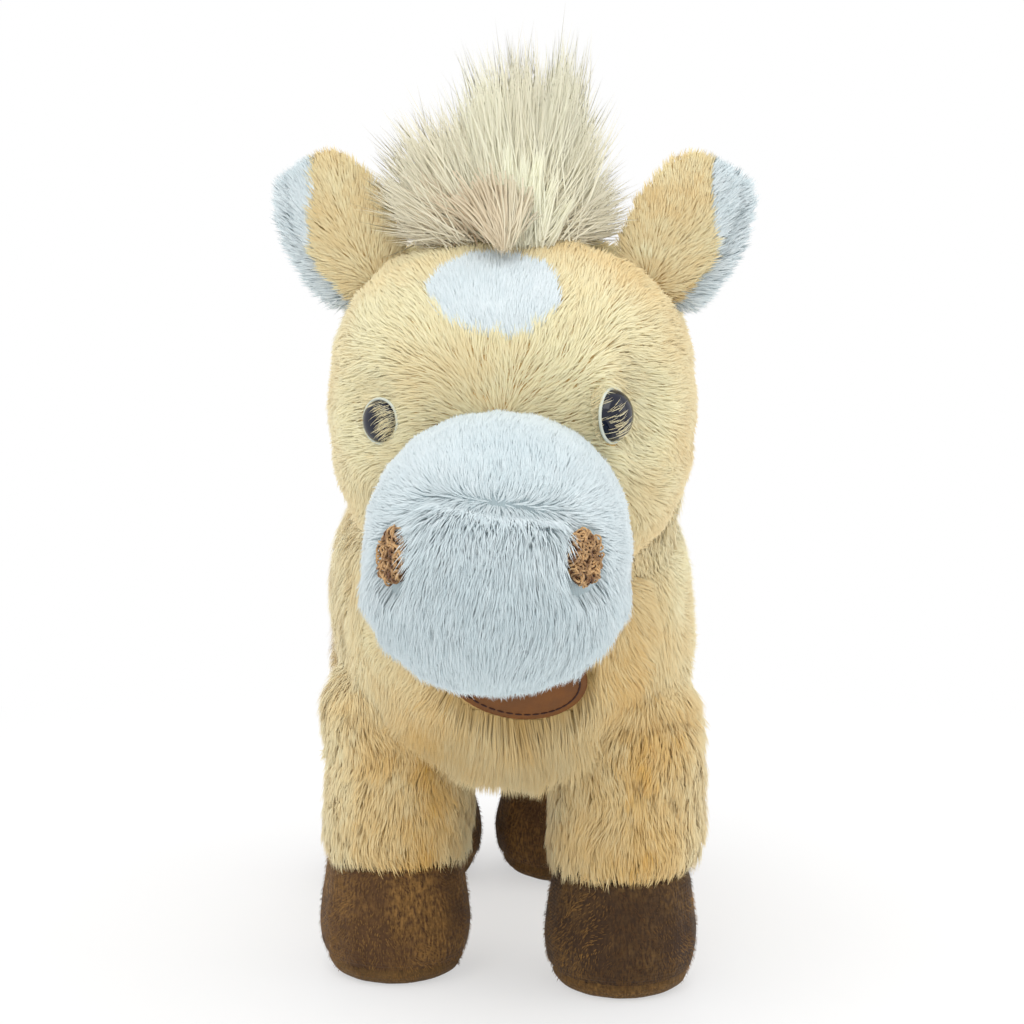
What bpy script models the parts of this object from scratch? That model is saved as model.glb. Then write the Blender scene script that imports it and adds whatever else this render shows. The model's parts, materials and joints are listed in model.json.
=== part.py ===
"""A stuffed toy horse standing on four legs, built as the pieces that it is sewn from.

Metres, +Z up. The toy faces -Y, so its own left side is +X. Its head looks a little to its right.
The covers are shells of fur fabric with the stuffing as separate bodies inside them. The neck is a
ball between head and trunk, each leg is a domed post in a pocket of the trunk, each ear stands in
a groove, and the tail hangs from a round root.
"""

import math

import bmesh
import bpy
from mathutils import Matrix, Vector

# Cloth, seams and running clearances
COVER_WALL = 0.0018
SEAM_GAP = 0.0003
NECK_CLEARANCE = 0.0008
HIP_CLEARANCE = 0.0009
TAIL_CLEARANCE = 0.0005

# Trunk
BODY_WIDTH = 0.092
BODY_LENGTH = 0.152
CHEST_FRONT = -0.079
BELLY_HEIGHT = 0.052
SHOULDER_HEIGHT = 0.139
BELLY_PANEL_WIDTH = 0.026
BELLY_PANEL_TOP = 0.074
BODY_SQUARENESS = 2.9
# (place from chest to rump, width, top, bottom) of each ring, the last two from belly to shoulder
BODY_RING_SHARES = (
    (0.05, 0.58, 0.80, 0.20),
    (0.20, 0.93, 0.98, 0.03),
    (0.40, 1.00, 1.00, 0.00),
    (0.60, 0.98, 0.86, 0.00),
    (0.80, 0.97, 0.86, 0.02),
    (0.95, 0.66, 0.74, 0.22),
)
BODY_END_HEIGHT_SHARES = (0.48, 0.50)

# Neck ball and the head joints at its centre
NECK_RADIUS = 0.040
NECK_INSET = 0.037
NECK_HEIGHT = 0.130
NECK_COVER_TOP_ANGLE = math.radians(28)
NECK_COVER_BOTTOM_ANGLE = math.radians(150)
HEAD_TURN = math.radians(9)

# Skull, measured from the neck joint in the head's own frame
HEAD_WIDTH = 0.088
HEAD_FACE_REACH = 0.062
HEAD_NAPE_REACH = 0.020
HEAD_TOP = 0.0650
HEAD_JAW = -0.022
HEAD_SQUARENESS = 2.9
# (place from face to nape, width, height) of each ring
HEAD_RING_SHARES = (
    (0.05, 0.60, 0.60),
    (0.22, 0.93, 0.93),
    (0.45, 1.00, 1.00),
    (0.70, 0.98, 0.98),
    (0.94, 0.66, 0.66),
)

# Muzzle, measured from the neck joint in the head's own frame
MUZZLE_WIDTH = 0.062
MUZZLE_BACK_REACH = 0.038
MUZZLE_FRONT_REACH = 0.106
MUZZLE_TOP = 0.0275
MUZZLE_BOTTOM = -0.0385
MUZZLE_SQUARENESS = 2.2
# (place from front to back, width, height) of each ring
MUZZLE_RING_SHARES = (
    (0.05, 0.56, 0.54),
    (0.24, 0.92, 0.90),
    (0.50, 1.00, 1.00),
    (0.78, 0.92, 0.94),
    (0.95, 0.60, 0.62),
)
BRIDGE_SEAM_HEIGHT = 0.010
BRIDGE_SEAM_SLOPE = math.radians(14)

# White spot on the forehead
SPOT_WIDTH = 0.030
SPOT_HEIGHT = 0.024
SPOT_RISE_ANGLE = math.radians(48)

# Safety eyes: a domed face on a stem, held by a washer behind the fabric
EYE_DIAMETER = 0.0125
EYE_DOME_HEIGHT = 0.0034
EYE_RIM_HEIGHT = 0.0008
EYE_STEM_DIAMETER = 0.0030
EYE_STEM_LENGTH = 0.0090
EYE_SEAT_DEPTH = 0.0009
EYE_SIDE_ANGLE = math.radians(43)
EYES_ASKEW = math.radians(-1.5)
EYE_RISE_ANGLE = math.radians(4.5)
WASHER_DIAMETER = 0.0100
WASHER_THICKNESS = 0.0012

# Looped nostril pads
NOSTRIL_WIDTH = 0.0100
NOSTRIL_HEIGHT = 0.0130
NOSTRIL_THICKNESS = 0.0012
NOSTRIL_SIDE_ANGLE = math.radians(39)
NOSTRIL_RISE_ANGLE = math.radians(5.5)

# Ears, measured along their own height from the fold at the root
EAR_LENGTH = 0.037
EAR_WIDTH = 0.025
EAR_LAYER_THICKNESS = 0.0036
EAR_LAYER_GAP = 0.0004
EAR_LINING_ASIDE = 0.005
EAR_LEAN = math.radians(28)
EAR_SIDE = 0.0340
EAR_FORWARD = 0.023
EAR_ROOT_HEIGHT = 0.0545
EAR_ROOT_DEPTH = 0.0016
EAR_GROOVE_RADIUS = 0.0048
EAR_GROOVE_LENGTH = 0.046
EAR_SQUARENESS = 2.6
# (place from root to tip, width, thickness) of each ring
EAR_RING_SHARES = (
    (0.02, 0.64, 0.86),
    (0.25, 0.90, 1.00),
    (0.55, 1.00, 1.00),
    (0.90, 0.78, 0.80),
)

# Long-pile forelock, crest of the mane and the lock that falls to the right
FORELOCK_HEIGHT = 0.045
FORELOCK_WIDTH = 0.036
FORELOCK_DEPTH = 0.026
FORELOCK_FORWARD = 0.026
FORELOCK_SINK = 0.004
FORELOCK_TILT = math.radians(4)
# (place from root to tip, width, depth) of each ring
FORELOCK_RING_SHARES = (
    (0.04, 0.72, 0.74),
    (0.25, 0.98, 1.00),
    (0.55, 1.00, 0.96),
    (0.85, 0.74, 0.70),
)
SIDE_LOCK_LENGTH = 0.022
SIDE_LOCK_WIDTH = 0.025
SIDE_LOCK_ANGLE = math.radians(50)
CREST_WIDTH = 0.017
CREST_PILE = 0.010
CREST_FRONT_ANGLE = math.radians(98)
CREST_BACK_ANGLE = math.radians(140)
TUFT_SQUARENESS = 2.0

# Legs: a domed post turned about its own upright axis, with a hoof and a sole below
HIP_HEIGHT = 0.066
LEG_SWING = math.radians(12)
FRONT_LEG_RADIUS = 0.0195
FRONT_LEG_SPACING = 0.057
FRONT_LEGS_ASIDE = -0.0030
FRONT_LEG_INSET = 0.0370
FRONT_LEG_STAGGER = 0.0170
FRONT_HOOF_RADIUS = 0.0190
REAR_LEG_RADIUS = 0.0195
REAR_LEG_SPACING = 0.0500
REAR_LEG_INSET = 0.0170
REAR_HOOF_RADIUS = 0.0225
LEG_HEM_RADIUS_SHARE = 0.91
HEM_HEIGHT = 0.031
HOOF_BULGE_HEIGHT = 0.0130
HOOF_ROUND_HEIGHT = 0.0040
SOLE_HEIGHT = 0.0022
SOLE_RADIUS_SHARE = 0.90
SOLE_FLAT_RADIUS_SHARE = 0.78
HOOF_LENGTH_SHARE = 1.08
POCKET_OVERRUN = 0.020

# Oval label on the chest, left plain, with a line of stitching round it
LABEL_WIDTH = 0.036
LABEL_HEIGHT = 0.023
LABEL_THICKNESS = 0.0012
LABEL_TILT = math.radians(-13)
LABEL_ASIDE = -0.004
LABEL_Z = 0.0862
STITCH_INSET = 0.0020
STITCH_WIDTH = 0.0008
STITCH_THICKNESS = 0.0005

# Tail hanging from a round root at the top of the rump
TAIL_ROOT_RADIUS = 0.0055
TAIL_ROOT_HEIGHT = 0.1080
TAIL_ROOT_OUT = 0.0010
TAIL_LENGTH = 0.062
TAIL_WIDTH = 0.022
TAIL_THICKNESS = 0.012
TAIL_SET_BACK = 0.0048
# (place from top to tip, width, thickness) of each ring
TAIL_RING_SHARES = (
    (0.04, 0.60, 0.72),
    (0.20, 0.78, 0.90),
    (0.50, 1.00, 1.00),
    (0.78, 0.90, 0.90),
    (0.94, 0.50, 0.52),
)

# Fineness of the round shapes, as counts
CAGE_POINTS = 10
SMALL_CAGE_POINTS = 8
NECK_SEGMENTS = 24
HIP_SEGMENTS = 18
BEAD_SEGMENTS = 12
NECK_STEPS = 20
NECK_ARC_STEPS = 6
LEG_STEPS = 14
EYE_STEPS = 16
WASHER_STEPS = 12
DOME_ARC_STEPS = 4
CREST_STEPS = 5
OVAL_POINTS = 16
MERGE_DISTANCE = 0.00001

# The other solver loses whole skins as thin as these at some sizes
SKIN_SOLVER = "MANIFOLD"

# Side to side, forwards, and up in the toy's own frame
SIDE = Vector((1, 0, 0))
FORWARD = Vector((0, -1, 0))
UP = Vector((0, 0, 1))
RIGHT_AND_LEFT = (("right", -1), ("left", 1))
TOY_LENGTH_BOUND = 2 * BODY_LENGTH


def clear_scene():
    for obj in list(bpy.data.objects):
        bpy.data.objects.remove(obj)


def new_collection(name):
    collection = bpy.data.collections.new(name)
    bpy.context.scene.collection.children.link(collection)
    return collection


def linear(level):
    """One 8-bit screen colour channel as the linear value that a shader takes."""
    share = level / 255
    return share / 12.92 if share <= 0.04045 else ((share + 0.055) / 1.055) ** 2.4


def new_material(name, screen_colour, roughness, metallic=0.0):
    material = bpy.data.materials.new(name)
    material.use_nodes = True
    shader = material.node_tree.nodes["Principled BSDF"]
    colour = (*(linear(level) for level in screen_colour), 1.0)
    shader.inputs["Base Color"].default_value = colour
    shader.inputs["Roughness"].default_value = roughness
    shader.inputs["Metallic"].default_value = metallic
    material.diffuse_color = colour
    return material


clear_scene()
PARTS = new_collection("plush_horse")
CUTTERS = new_collection("cutters")
FUR = new_material("butter_fur", (228, 205, 155), 0.95)
WHITE_FUR = new_material("white_fur", (214, 226, 232), 0.95)
LONG_PILE = new_material("beige_long_pile", (214, 199, 172), 0.90)
SHORT_PILE = new_material("brown_short_pile", (100, 74, 50), 0.85)
LOOPED_CLOTH = new_material("brown_looped_cloth", (140, 100, 64), 0.95)
LABEL_LEATHER = new_material("label_leatherette", (150, 95, 50), 0.55)
THREAD = new_material("label_thread", (60, 30, 18), 0.80)
EYE_PLASTIC = new_material("eye_plastic", (32, 38, 58), 0.10)
WASHER_PLASTIC = new_material("washer_plastic", (235, 235, 230), 0.40)
STUFFING = new_material("polyester_stuffing", (240, 240, 236), 1.00)


def new_pivot(name, place, parent=None, turn=None):
    """An empty on a joint, which carries every piece that moves with it."""
    pivot = bpy.data.objects.new(name, None)
    PARTS.objects.link(pivot)
    pivot.parent = parent
    pivot.location = place
    if turn is not None:
        pivot.rotation_euler = turn
    return pivot


def new_object(name, mesh, parent, material=None):
    """A piece of the toy, or a cutter where no material is given."""
    obj = bpy.data.objects.new(name, mesh)
    obj.parent = parent
    if material is None:
        CUTTERS.objects.link(obj)
        obj.hide_render = True
        obj.display_type = "WIRE"
    else:
        PARTS.objects.link(obj)
        mesh.materials.append(material)
        mesh.shade_smooth()
    return obj


def mesh_from(name, bm):
    bmesh.ops.recalc_face_normals(bm, faces=bm.faces)
    mesh = bpy.data.meshes.new(name)
    bm.to_mesh(mesh)
    bm.free()
    return mesh


def squared(value, squareness):
    """A cosine or sine drawn towards the corners: 2 gives an ellipse, more a squarer outline."""
    return math.copysign(abs(value) ** (2 / squareness), value)


def ring_cage(name, start, rings, end, across, upwards, squareness, points):
    """A coarse closed cage: a UV sphere with its rings moved to (centre, half across, half up)."""
    bm = bmesh.new()
    bmesh.ops.create_uvsphere(bm, u_segments=points, v_segments=len(rings) + 1, radius=1)
    levels = sorted({round(vert.co.z, 5) for vert in bm.verts}, reverse=True)
    for vert in bm.verts:
        level = levels.index(round(vert.co.z, 5))
        if level in (0, len(levels) - 1):
            vert.co = start if level == 0 else end
            continue
        centre, half_across, half_up = rings[level - 1]
        angle = math.atan2(vert.co.y, vert.co.x)
        vert.co = (
            centre
            + across * (half_across * squared(math.cos(angle), squareness))
            + upwards * (half_up * squared(math.sin(angle), squareness))
        )
    return mesh_from(name, bm)


def smooth(obj):
    """Rounds a coarse cage."""
    modifier = obj.modifiers.new("Round", "SUBSURF")
    modifier.levels = 1
    modifier.render_levels = 1


def evaluated(obj):
    bpy.context.view_layer.update()
    return obj.evaluated_get(bpy.context.evaluated_depsgraph_get())


def fill_box(obj, low, high):
    """Moves a cage's points so that its rounded skin just fills the box from low to high."""
    corners = [Vector(corner) for corner in evaluated(obj).bound_box]
    for axis in range(3):
        first = min(corner[axis] for corner in corners)
        last = max(corner[axis] for corner in corners)
        stretch = (high[axis] - low[axis]) / (last - first)
        for vert in obj.data.vertices:
            vert.co[axis] = low[axis] + (vert.co[axis] - first) * stretch
    obj.data.update()


def offset(obj, distance):
    """Moves a skin out along its normals, or in where distance is negative."""
    modifier = obj.modifiers.new("Offset", "DISPLACE")
    modifier.direction = "NORMAL"
    modifier.mid_level = 0
    modifier.strength = distance


def shell(obj, wall):
    """Keeps a wall inside a skin and hollows the rest."""
    modifier = obj.modifiers.new("Wall", "SOLIDIFY")
    modifier.thickness = wall
    modifier.offset = -1


def cut(obj, *cutters, operation="DIFFERENCE", solver=SKIN_SOLVER):
    for cutter in cutters:
        modifier = obj.modifiers.new(cutter.name, "BOOLEAN")
        modifier.operation = operation
        modifier.solver = solver
        modifier.object = cutter


def box_cutter(name, low, high, parent):
    bm = bmesh.new()
    size = Vector(high) - Vector(low)
    middle = (Vector(high) + Vector(low)) / 2
    matrix = Matrix.Translation(middle) @ Matrix.Diagonal((*size, 1))
    bmesh.ops.create_cube(bm, size=1, matrix=matrix)
    return new_object(name, mesh_from(name, bm), parent)


def ball_mesh(name, radius, segments):
    bm = bmesh.new()
    bmesh.ops.create_uvsphere(bm, u_segments=segments, v_segments=segments // 2, radius=radius)
    return mesh_from(name, bm)


def oval_prism(name, width, height, near, far, parent, hole=None):
    """An oval of this width (X) and height (Y), from near to far along Z, with an oval hole if given."""
    bm = bmesh.new()
    loops = []
    for size in ((width, height), hole) if hole else ((width, height),):
        points = []
        for step in range(OVAL_POINTS):
            angle = math.tau * step / OVAL_POINTS
            points.append((size[0] / 2 * math.cos(angle), size[1] / 2 * math.sin(angle), near))
        loops.append([bm.verts.new(point) for point in points])
    if hole:
        edges = [bm.edges.new((loop[i - 1], loop[i])) for loop in loops for i in range(OVAL_POINTS)]
        bmesh.ops.bridge_loops(bm, edges=edges)
    else:
        bm.faces.new(loops[0])
    raised = bmesh.ops.extrude_face_region(bm, geom=bm.faces[:])
    lifted = [item for item in raised["geom"] if isinstance(item, bmesh.types.BMVert)]
    bmesh.ops.translate(bm, verts=lifted, vec=(0, 0, far - near))
    return new_object(name, mesh_from(name, bm), parent)


def turned(name, profile, parent, material=None, steps=LEG_STEPS):
    """A profile of (radius, height) points, outer side from top to bottom, turned about Z."""
    mesh = bpy.data.meshes.new(name)
    edges = [(i, i + 1) for i in range(len(profile) - 1)]
    if profile[0][0] > 0:
        edges.append((len(profile) - 1, 0))
    mesh.from_pydata([(radius, 0, height) for radius, height in profile], edges, [])
    obj = new_object(name, mesh, parent, material)
    modifier = obj.modifiers.new("Turn", "SCREW")
    modifier.steps = steps
    modifier.render_steps = steps
    modifier.use_merge_vertices = True
    modifier.merge_threshold = MERGE_DISTANCE
    modifier.use_smooth_shade = True
    return obj


def arc(radius, start, end, steps, height=0.0):
    """Points (radius, height) on a circle round the axis, by angle down from the top."""
    points = []
    for step in range(steps + 1):
        angle = start + (end - start) * step / steps
        points.append((radius * math.sin(angle), height + radius * math.cos(angle)))
    return points


def facing(normal, upright):
    """A turn whose Z runs along normal and whose Y is as near upright as it can be."""
    out = normal.normalized()
    across = upright.cross(out).normalized()
    return Matrix((across, out.cross(across), out)).transposed().to_4x4()


def meet(skin, start, direction):
    """Where a ray in the skin's own frame first meets it from outside, and the normal there."""
    far = start + direction.normalized() * TOY_LENGTH_BOUND
    found, place, normal, _ = evaluated(skin).ray_cast(far, -direction.normalized())
    if not found:
        raise RuntimeError(f"nothing met on {skin.name}")
    return place, normal


def aimed(side_angle, rise_angle):
    """The direction this far round from straight ahead and this far up."""
    level = FORWARD * math.cos(side_angle) + SIDE * math.sin(side_angle)
    return level * math.cos(rise_angle) + UP * math.sin(rise_angle)


def lofted_skin(
    name, parent, ends, rings, across, upwards, squareness, box, material=None, points=CAGE_POINTS
):
    """A rounded cage that fills a box."""
    mesh = ring_cage(name, ends[0], rings, ends[1], across, upwards, squareness, points)
    obj = new_object(name, mesh, parent, material)
    smooth(obj)
    fill_box(obj, *box)
    return obj


# Each skin below is a function of a name, so that the cover, the stuffing and the cutters share it


def trunk_skin(name, material=None):
    height = SHOULDER_HEIGHT - BELLY_HEIGHT
    rings = []
    for along, width, top, bottom in BODY_RING_SHARES:
        middle = BELLY_HEIGHT + height * (top + bottom) / 2
        centre = Vector((0, CHEST_FRONT + BODY_LENGTH * along, middle))
        rings.append((centre, BODY_WIDTH / 2 * width, height * (top - bottom) / 2))
    first, last = (BELLY_HEIGHT + height * share for share in BODY_END_HEIGHT_SHARES)
    ends = (Vector((0, CHEST_FRONT, first)), Vector((0, CHEST_FRONT + BODY_LENGTH, last)))
    box = (
        (-BODY_WIDTH / 2, CHEST_FRONT, BELLY_HEIGHT),
        (BODY_WIDTH / 2, CHEST_FRONT + BODY_LENGTH, SHOULDER_HEIGHT),
    )
    return lofted_skin(name, TOY, ends, rings, SIDE, UP, BODY_SQUARENESS, box, material)


def head_skin(name, material=None):
    length = HEAD_FACE_REACH + HEAD_NAPE_REACH
    middle = (HEAD_TOP + HEAD_JAW) / 2
    half_height = (HEAD_TOP - HEAD_JAW) / 2
    rings = []
    for along, width, height in HEAD_RING_SHARES:
        centre = Vector((0, -HEAD_FACE_REACH + length * along, middle))
        rings.append((centre, HEAD_WIDTH / 2 * width, half_height * height))
    ends = (Vector((0, -HEAD_FACE_REACH, middle)), Vector((0, HEAD_NAPE_REACH, middle)))
    box = (
        (-HEAD_WIDTH / 2, -HEAD_FACE_REACH, HEAD_JAW),
        (HEAD_WIDTH / 2, HEAD_NAPE_REACH, HEAD_TOP),
    )
    return lofted_skin(name, HEAD, ends, rings, SIDE, UP, HEAD_SQUARENESS, box, material)


def muzzle_skin(name, material=None):
    length = MUZZLE_FRONT_REACH - MUZZLE_BACK_REACH
    middle = (MUZZLE_TOP + MUZZLE_BOTTOM) / 2
    half_height = (MUZZLE_TOP - MUZZLE_BOTTOM) / 2
    rings = []
    for along, width, height in MUZZLE_RING_SHARES:
        centre = Vector((0, -MUZZLE_FRONT_REACH + length * along, middle))
        rings.append((centre, MUZZLE_WIDTH / 2 * width, half_height * height))
    ends = (Vector((0, -MUZZLE_FRONT_REACH, middle)), Vector((0, -MUZZLE_BACK_REACH, middle)))
    box = (
        (-MUZZLE_WIDTH / 2, -MUZZLE_FRONT_REACH, MUZZLE_BOTTOM),
        (MUZZLE_WIDTH / 2, -MUZZLE_BACK_REACH, MUZZLE_TOP),
    )
    return lofted_skin(name, HEAD, ends, rings, SIDE, UP, MUZZLE_SQUARENESS, box, material)


def standing_skin(name, parent, length, width, thickness, shares, squareness, material):
    """A leaf or lock that stands on its parent's origin and rises along its Z."""
    rings = []
    for along, wide, thick in shares:
        rings.append((UP * (length * along), width / 2 * wide, thickness / 2 * thick))
    ends = (Vector((0, 0, 0)), UP * length)
    box = ((-width / 2, -thickness / 2, 0), (width / 2, thickness / 2, length))
    return lofted_skin(
        name, parent, ends, rings, SIDE, -FORWARD, squareness, box, material, SMALL_CAGE_POINTS
    )


# Where each leg stands

front_leg_y = CHEST_FRONT + FRONT_LEG_INSET
rear_leg_y = CHEST_FRONT + BODY_LENGTH - REAR_LEG_INSET
FRONT_LEG_PLACES = {
    "left": (FRONT_LEGS_ASIDE + FRONT_LEG_SPACING / 2, front_leg_y - FRONT_LEG_STAGGER / 2),
    "right": (FRONT_LEGS_ASIDE - FRONT_LEG_SPACING / 2, front_leg_y + FRONT_LEG_STAGGER / 2),
}
REAR_LEG_PLACES = {
    "left": (REAR_LEG_SPACING / 2, rear_leg_y),
    "right": (-REAR_LEG_SPACING / 2, rear_leg_y),
}
LEGS = []
for leg_side in ("left", "right"):
    LEGS.append(
        (f"front_{leg_side}", leg_side, FRONT_LEG_PLACES[leg_side], FRONT_LEG_RADIUS, FRONT_HOOF_RADIUS)
    )
    LEGS.append(
        (f"rear_{leg_side}", leg_side, REAR_LEG_PLACES[leg_side], REAR_LEG_RADIUS, REAR_HOOF_RADIUS)
    )

TOY = new_pivot("toy", (0, 0, 0))
HEAD = new_pivot("head_joint", (0, CHEST_FRONT + NECK_INSET, NECK_HEIGHT), TOY, (0, 0, -HEAD_TURN))


def hip_pocket(name, radius, parent):
    """A dome with a skirt below it that widens fore and aft as far as the leg swings."""
    bm = bmesh.new()
    bmesh.ops.create_uvsphere(
        bm, u_segments=HIP_SEGMENTS, v_segments=HIP_SEGMENTS // 2, radius=radius
    )
    drop = HIP_HEIGHT - BELLY_HEIGHT + POCKET_OVERRUN
    lowest = min(vert.co.z for vert in bm.verts)
    widest = {round(v.co.z, 6) for v in bm.verts if lowest < v.co.z < 0}
    lowest_ring = min(widest)
    for vert in bm.verts:
        if vert.co.z > -MERGE_DISTANCE:
            continue
        if vert.co.z == lowest:
            vert.co.z = -drop
            continue
        depth = drop * vert.co.z / lowest_ring
        angle = math.atan2(vert.co.y, vert.co.x)
        fore_and_aft = radius / math.cos(LEG_SWING) + depth * math.tan(LEG_SWING)
        vert.co = (radius * math.cos(angle), fore_and_aft * math.sin(angle), -depth)
    return new_object(name, mesh_from(name, bm), parent)


# Joint empties of the legs, the cutters, and the parts of the trunk

HIPS = {}
POCKETS = {}
for leg_name, leg_side, leg_place, leg_radius, _ in LEGS:
    hip = new_pivot(f"{leg_name}_hip", (*leg_place, HIP_HEIGHT), TOY)
    HIPS[leg_name] = hip
    pocket_radius = leg_radius + HIP_CLEARANCE
    POCKETS[leg_name] = hip_pocket(f"{leg_name}_pocket", pocket_radius, hip)

NECK_SOCKET = new_object(
    "neck_socket",
    ball_mesh("neck_socket", NECK_RADIUS + NECK_CLEARANCE, NECK_SEGMENTS),
    HEAD,
)


def make_trunk():
    plain = trunk_skin("trunk_guide")
    tail_place, _ = meet(plain, Vector((0, 0, TAIL_ROOT_HEIGHT)), -FORWARD)
    tail = new_pivot("tail_joint", tail_place - FORWARD * TAIL_ROOT_OUT, TOY)
    pocket_mesh = ball_mesh("tail_pocket", TAIL_ROOT_RADIUS + TAIL_CLEARANCE, BEAD_SEGMENTS)
    tail_pocket = new_object("tail_pocket", pocket_mesh, tail)
    reach = TOY_LENGTH_BOUND
    half_gap = SEAM_GAP / 2
    half_panel = BELLY_PANEL_WIDTH / 2
    belly_out = box_cutter(
        "belly_opening",
        (-half_panel - half_gap, -reach, -reach),
        (half_panel + half_gap, reach, BELLY_PANEL_TOP + half_gap),
        TOY,
    )
    belly_in = box_cutter(
        "belly_keeper",
        (-half_panel + half_gap, -reach, -reach),
        (half_panel - half_gap, reach, BELLY_PANEL_TOP - half_gap),
        TOY,
    )
    for side_name, sign in RIGHT_AND_LEFT:
        piece = trunk_skin(f"body_side_{side_name}", FUR)
        shell(piece, COVER_WALL)
        inner, outer = -sign * reach, sign * half_gap
        other_half = box_cutter(
            f"beyond_{side_name}_side",
            (min(inner, outer), -reach, -reach),
            (max(inner, outer), reach, reach),
            TOY,
        )
        own_pockets = [POCKETS[leg[0]] for leg in LEGS if leg[1] == side_name]
        cut(piece, other_half, belly_out, NECK_SOCKET, tail_pocket, *own_pockets)
    belly = trunk_skin("belly_panel", FUR)
    shell(belly, COVER_WALL)
    cut(belly, *POCKETS.values())
    cut(belly, belly_in, operation="INTERSECT")
    stuffing = trunk_skin("body_stuffing", STUFFING)
    offset(stuffing, -COVER_WALL - SEAM_GAP)
    cut(stuffing, NECK_SOCKET, tail_pocket, *POCKETS.values(), solver="EXACT")
    return plain, tail


def make_neck():
    top, bottom = NECK_COVER_TOP_ANGLE, NECK_COVER_BOTTOM_ANGLE
    outer = arc(NECK_RADIUS, top, bottom, NECK_ARC_STEPS)
    inner = arc(NECK_RADIUS - COVER_WALL, bottom, top, NECK_ARC_STEPS)
    turned("neck_cover", outer + inner, HEAD, FUR, steps=NECK_STEPS)
    radius = NECK_RADIUS - COVER_WALL - SEAM_GAP
    ball = arc(radius, top, bottom, NECK_ARC_STEPS)
    filling = [(0, ball[0][1]), *ball, (0, ball[-1][1])]
    turned("neck_stuffing", filling, HEAD, STUFFING, steps=NECK_STEPS)


def make_leg(leg_name, radius, hoof_radius):
    """The leg's origin is its hip, so heights here are below the joint."""
    hip = HIPS[leg_name]
    quarter = math.pi / 2
    hem = HEM_HEIGHT - HIP_HEIGHT
    hem_radius = radius * LEG_HEM_RADIUS_SHARE
    inner_radius = radius - COVER_WALL
    cover = arc(radius, 0, quarter, DOME_ARC_STEPS)
    cover.append((hem_radius, hem))
    cover.append((hem_radius - COVER_WALL, hem))
    cover += arc(inner_radius, quarter, 0, DOME_ARC_STEPS)
    turned(f"{leg_name}_leg_cover", cover, hip, FUR)

    ground = -HIP_HEIGHT
    hoof_top = hem - SEAM_GAP
    top_radius = hem_radius
    seam = ground + SOLE_HEIGHT + SEAM_GAP
    sole_radius = hoof_radius * SOLE_RADIUS_SHARE
    bulge = ground + HOOF_BULGE_HEIGHT
    shoulder = bulge + (hoof_top - bulge) / 2
    shoulder_radius = (hoof_radius + top_radius) / 2 + (hoof_radius - top_radius) / 4
    low = ground + SOLE_HEIGHT + HOOF_ROUND_HEIGHT
    low_radius = (hoof_radius + sole_radius) / 2 + (hoof_radius - sole_radius) / 4
    outside = [
        (top_radius, hoof_top),
        (shoulder_radius, shoulder),
        (hoof_radius, bulge),
        (low_radius, low),
        (sole_radius, seam),
    ]
    inside = [(point[0] - COVER_WALL, point[1]) for point in reversed(outside)]
    hoof = turned(f"{leg_name}_hoof", outside + inside, hip, SHORT_PILE)
    sole_top = ground + SOLE_HEIGHT
    sole_profile = [
        (0, sole_top),
        (sole_radius - COVER_WALL / 2, sole_top),
        (sole_radius, sole_top - SOLE_HEIGHT / 3),
        (hoof_radius * SOLE_FLAT_RADIUS_SHARE, ground),
        (0, ground),
    ]
    sole = turned(f"{leg_name}_sole", sole_profile, hip, SHORT_PILE)
    gap = COVER_WALL + SEAM_GAP
    filling = arc(radius - gap, 0, quarter, DOME_ARC_STEPS)
    filling.append((min(hem_radius, top_radius) - gap, hoof_top))
    filling += [(point[0] - gap, point[1]) for point in outside[1:4]]
    filling.append((sole_radius - gap, sole_top + SEAM_GAP))
    filling.append((0, sole_top + SEAM_GAP))
    stuffing = turned(f"{leg_name}_stuffing", filling, hip, STUFFING)
    for piece in (hoof, sole):
        piece.scale.y = HOOF_LENGTH_SHARE
    return stuffing


def make_label(plain):
    """The label lies on the chest as a slice of a skin just outside the cover."""
    start = Vector((LABEL_ASIDE, 0, LABEL_Z))
    place, normal = meet(plain, start, FORWARD)
    turn = facing(normal, UP) @ Matrix.Rotation(LABEL_TILT, 4, "Z")
    frame = bpy.data.objects.new("label_frame", None)
    PARTS.objects.link(frame)
    frame.parent = TOY
    frame.matrix_local = Matrix.Translation(place) @ turn
    reach = LABEL_WIDTH / 2
    label = trunk_skin("chest_label", LABEL_LEATHER)
    offset(label, SEAM_GAP + LABEL_THICKNESS)
    shell(label, LABEL_THICKNESS)
    oval = oval_prism("label_outline", LABEL_WIDTH, LABEL_HEIGHT, -reach, reach, frame)
    cut(label, oval, operation="INTERSECT")
    cut(label, NECK_SOCKET)
    outside = (LABEL_WIDTH - 2 * STITCH_INSET, LABEL_HEIGHT - 2 * STITCH_INSET)
    inside = (outside[0] - 2 * STITCH_WIDTH, outside[1] - 2 * STITCH_WIDTH)
    stitching = trunk_skin("label_stitching", THREAD)
    offset(stitching, 2 * SEAM_GAP + LABEL_THICKNESS + STITCH_THICKNESS)
    shell(stitching, STITCH_THICKNESS)
    line = oval_prism("stitch_outline", *outside, -reach, reach, frame, hole=inside)
    cut(stitching, line, operation="INTERSECT")
    cut(stitching, NECK_SOCKET)


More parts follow.
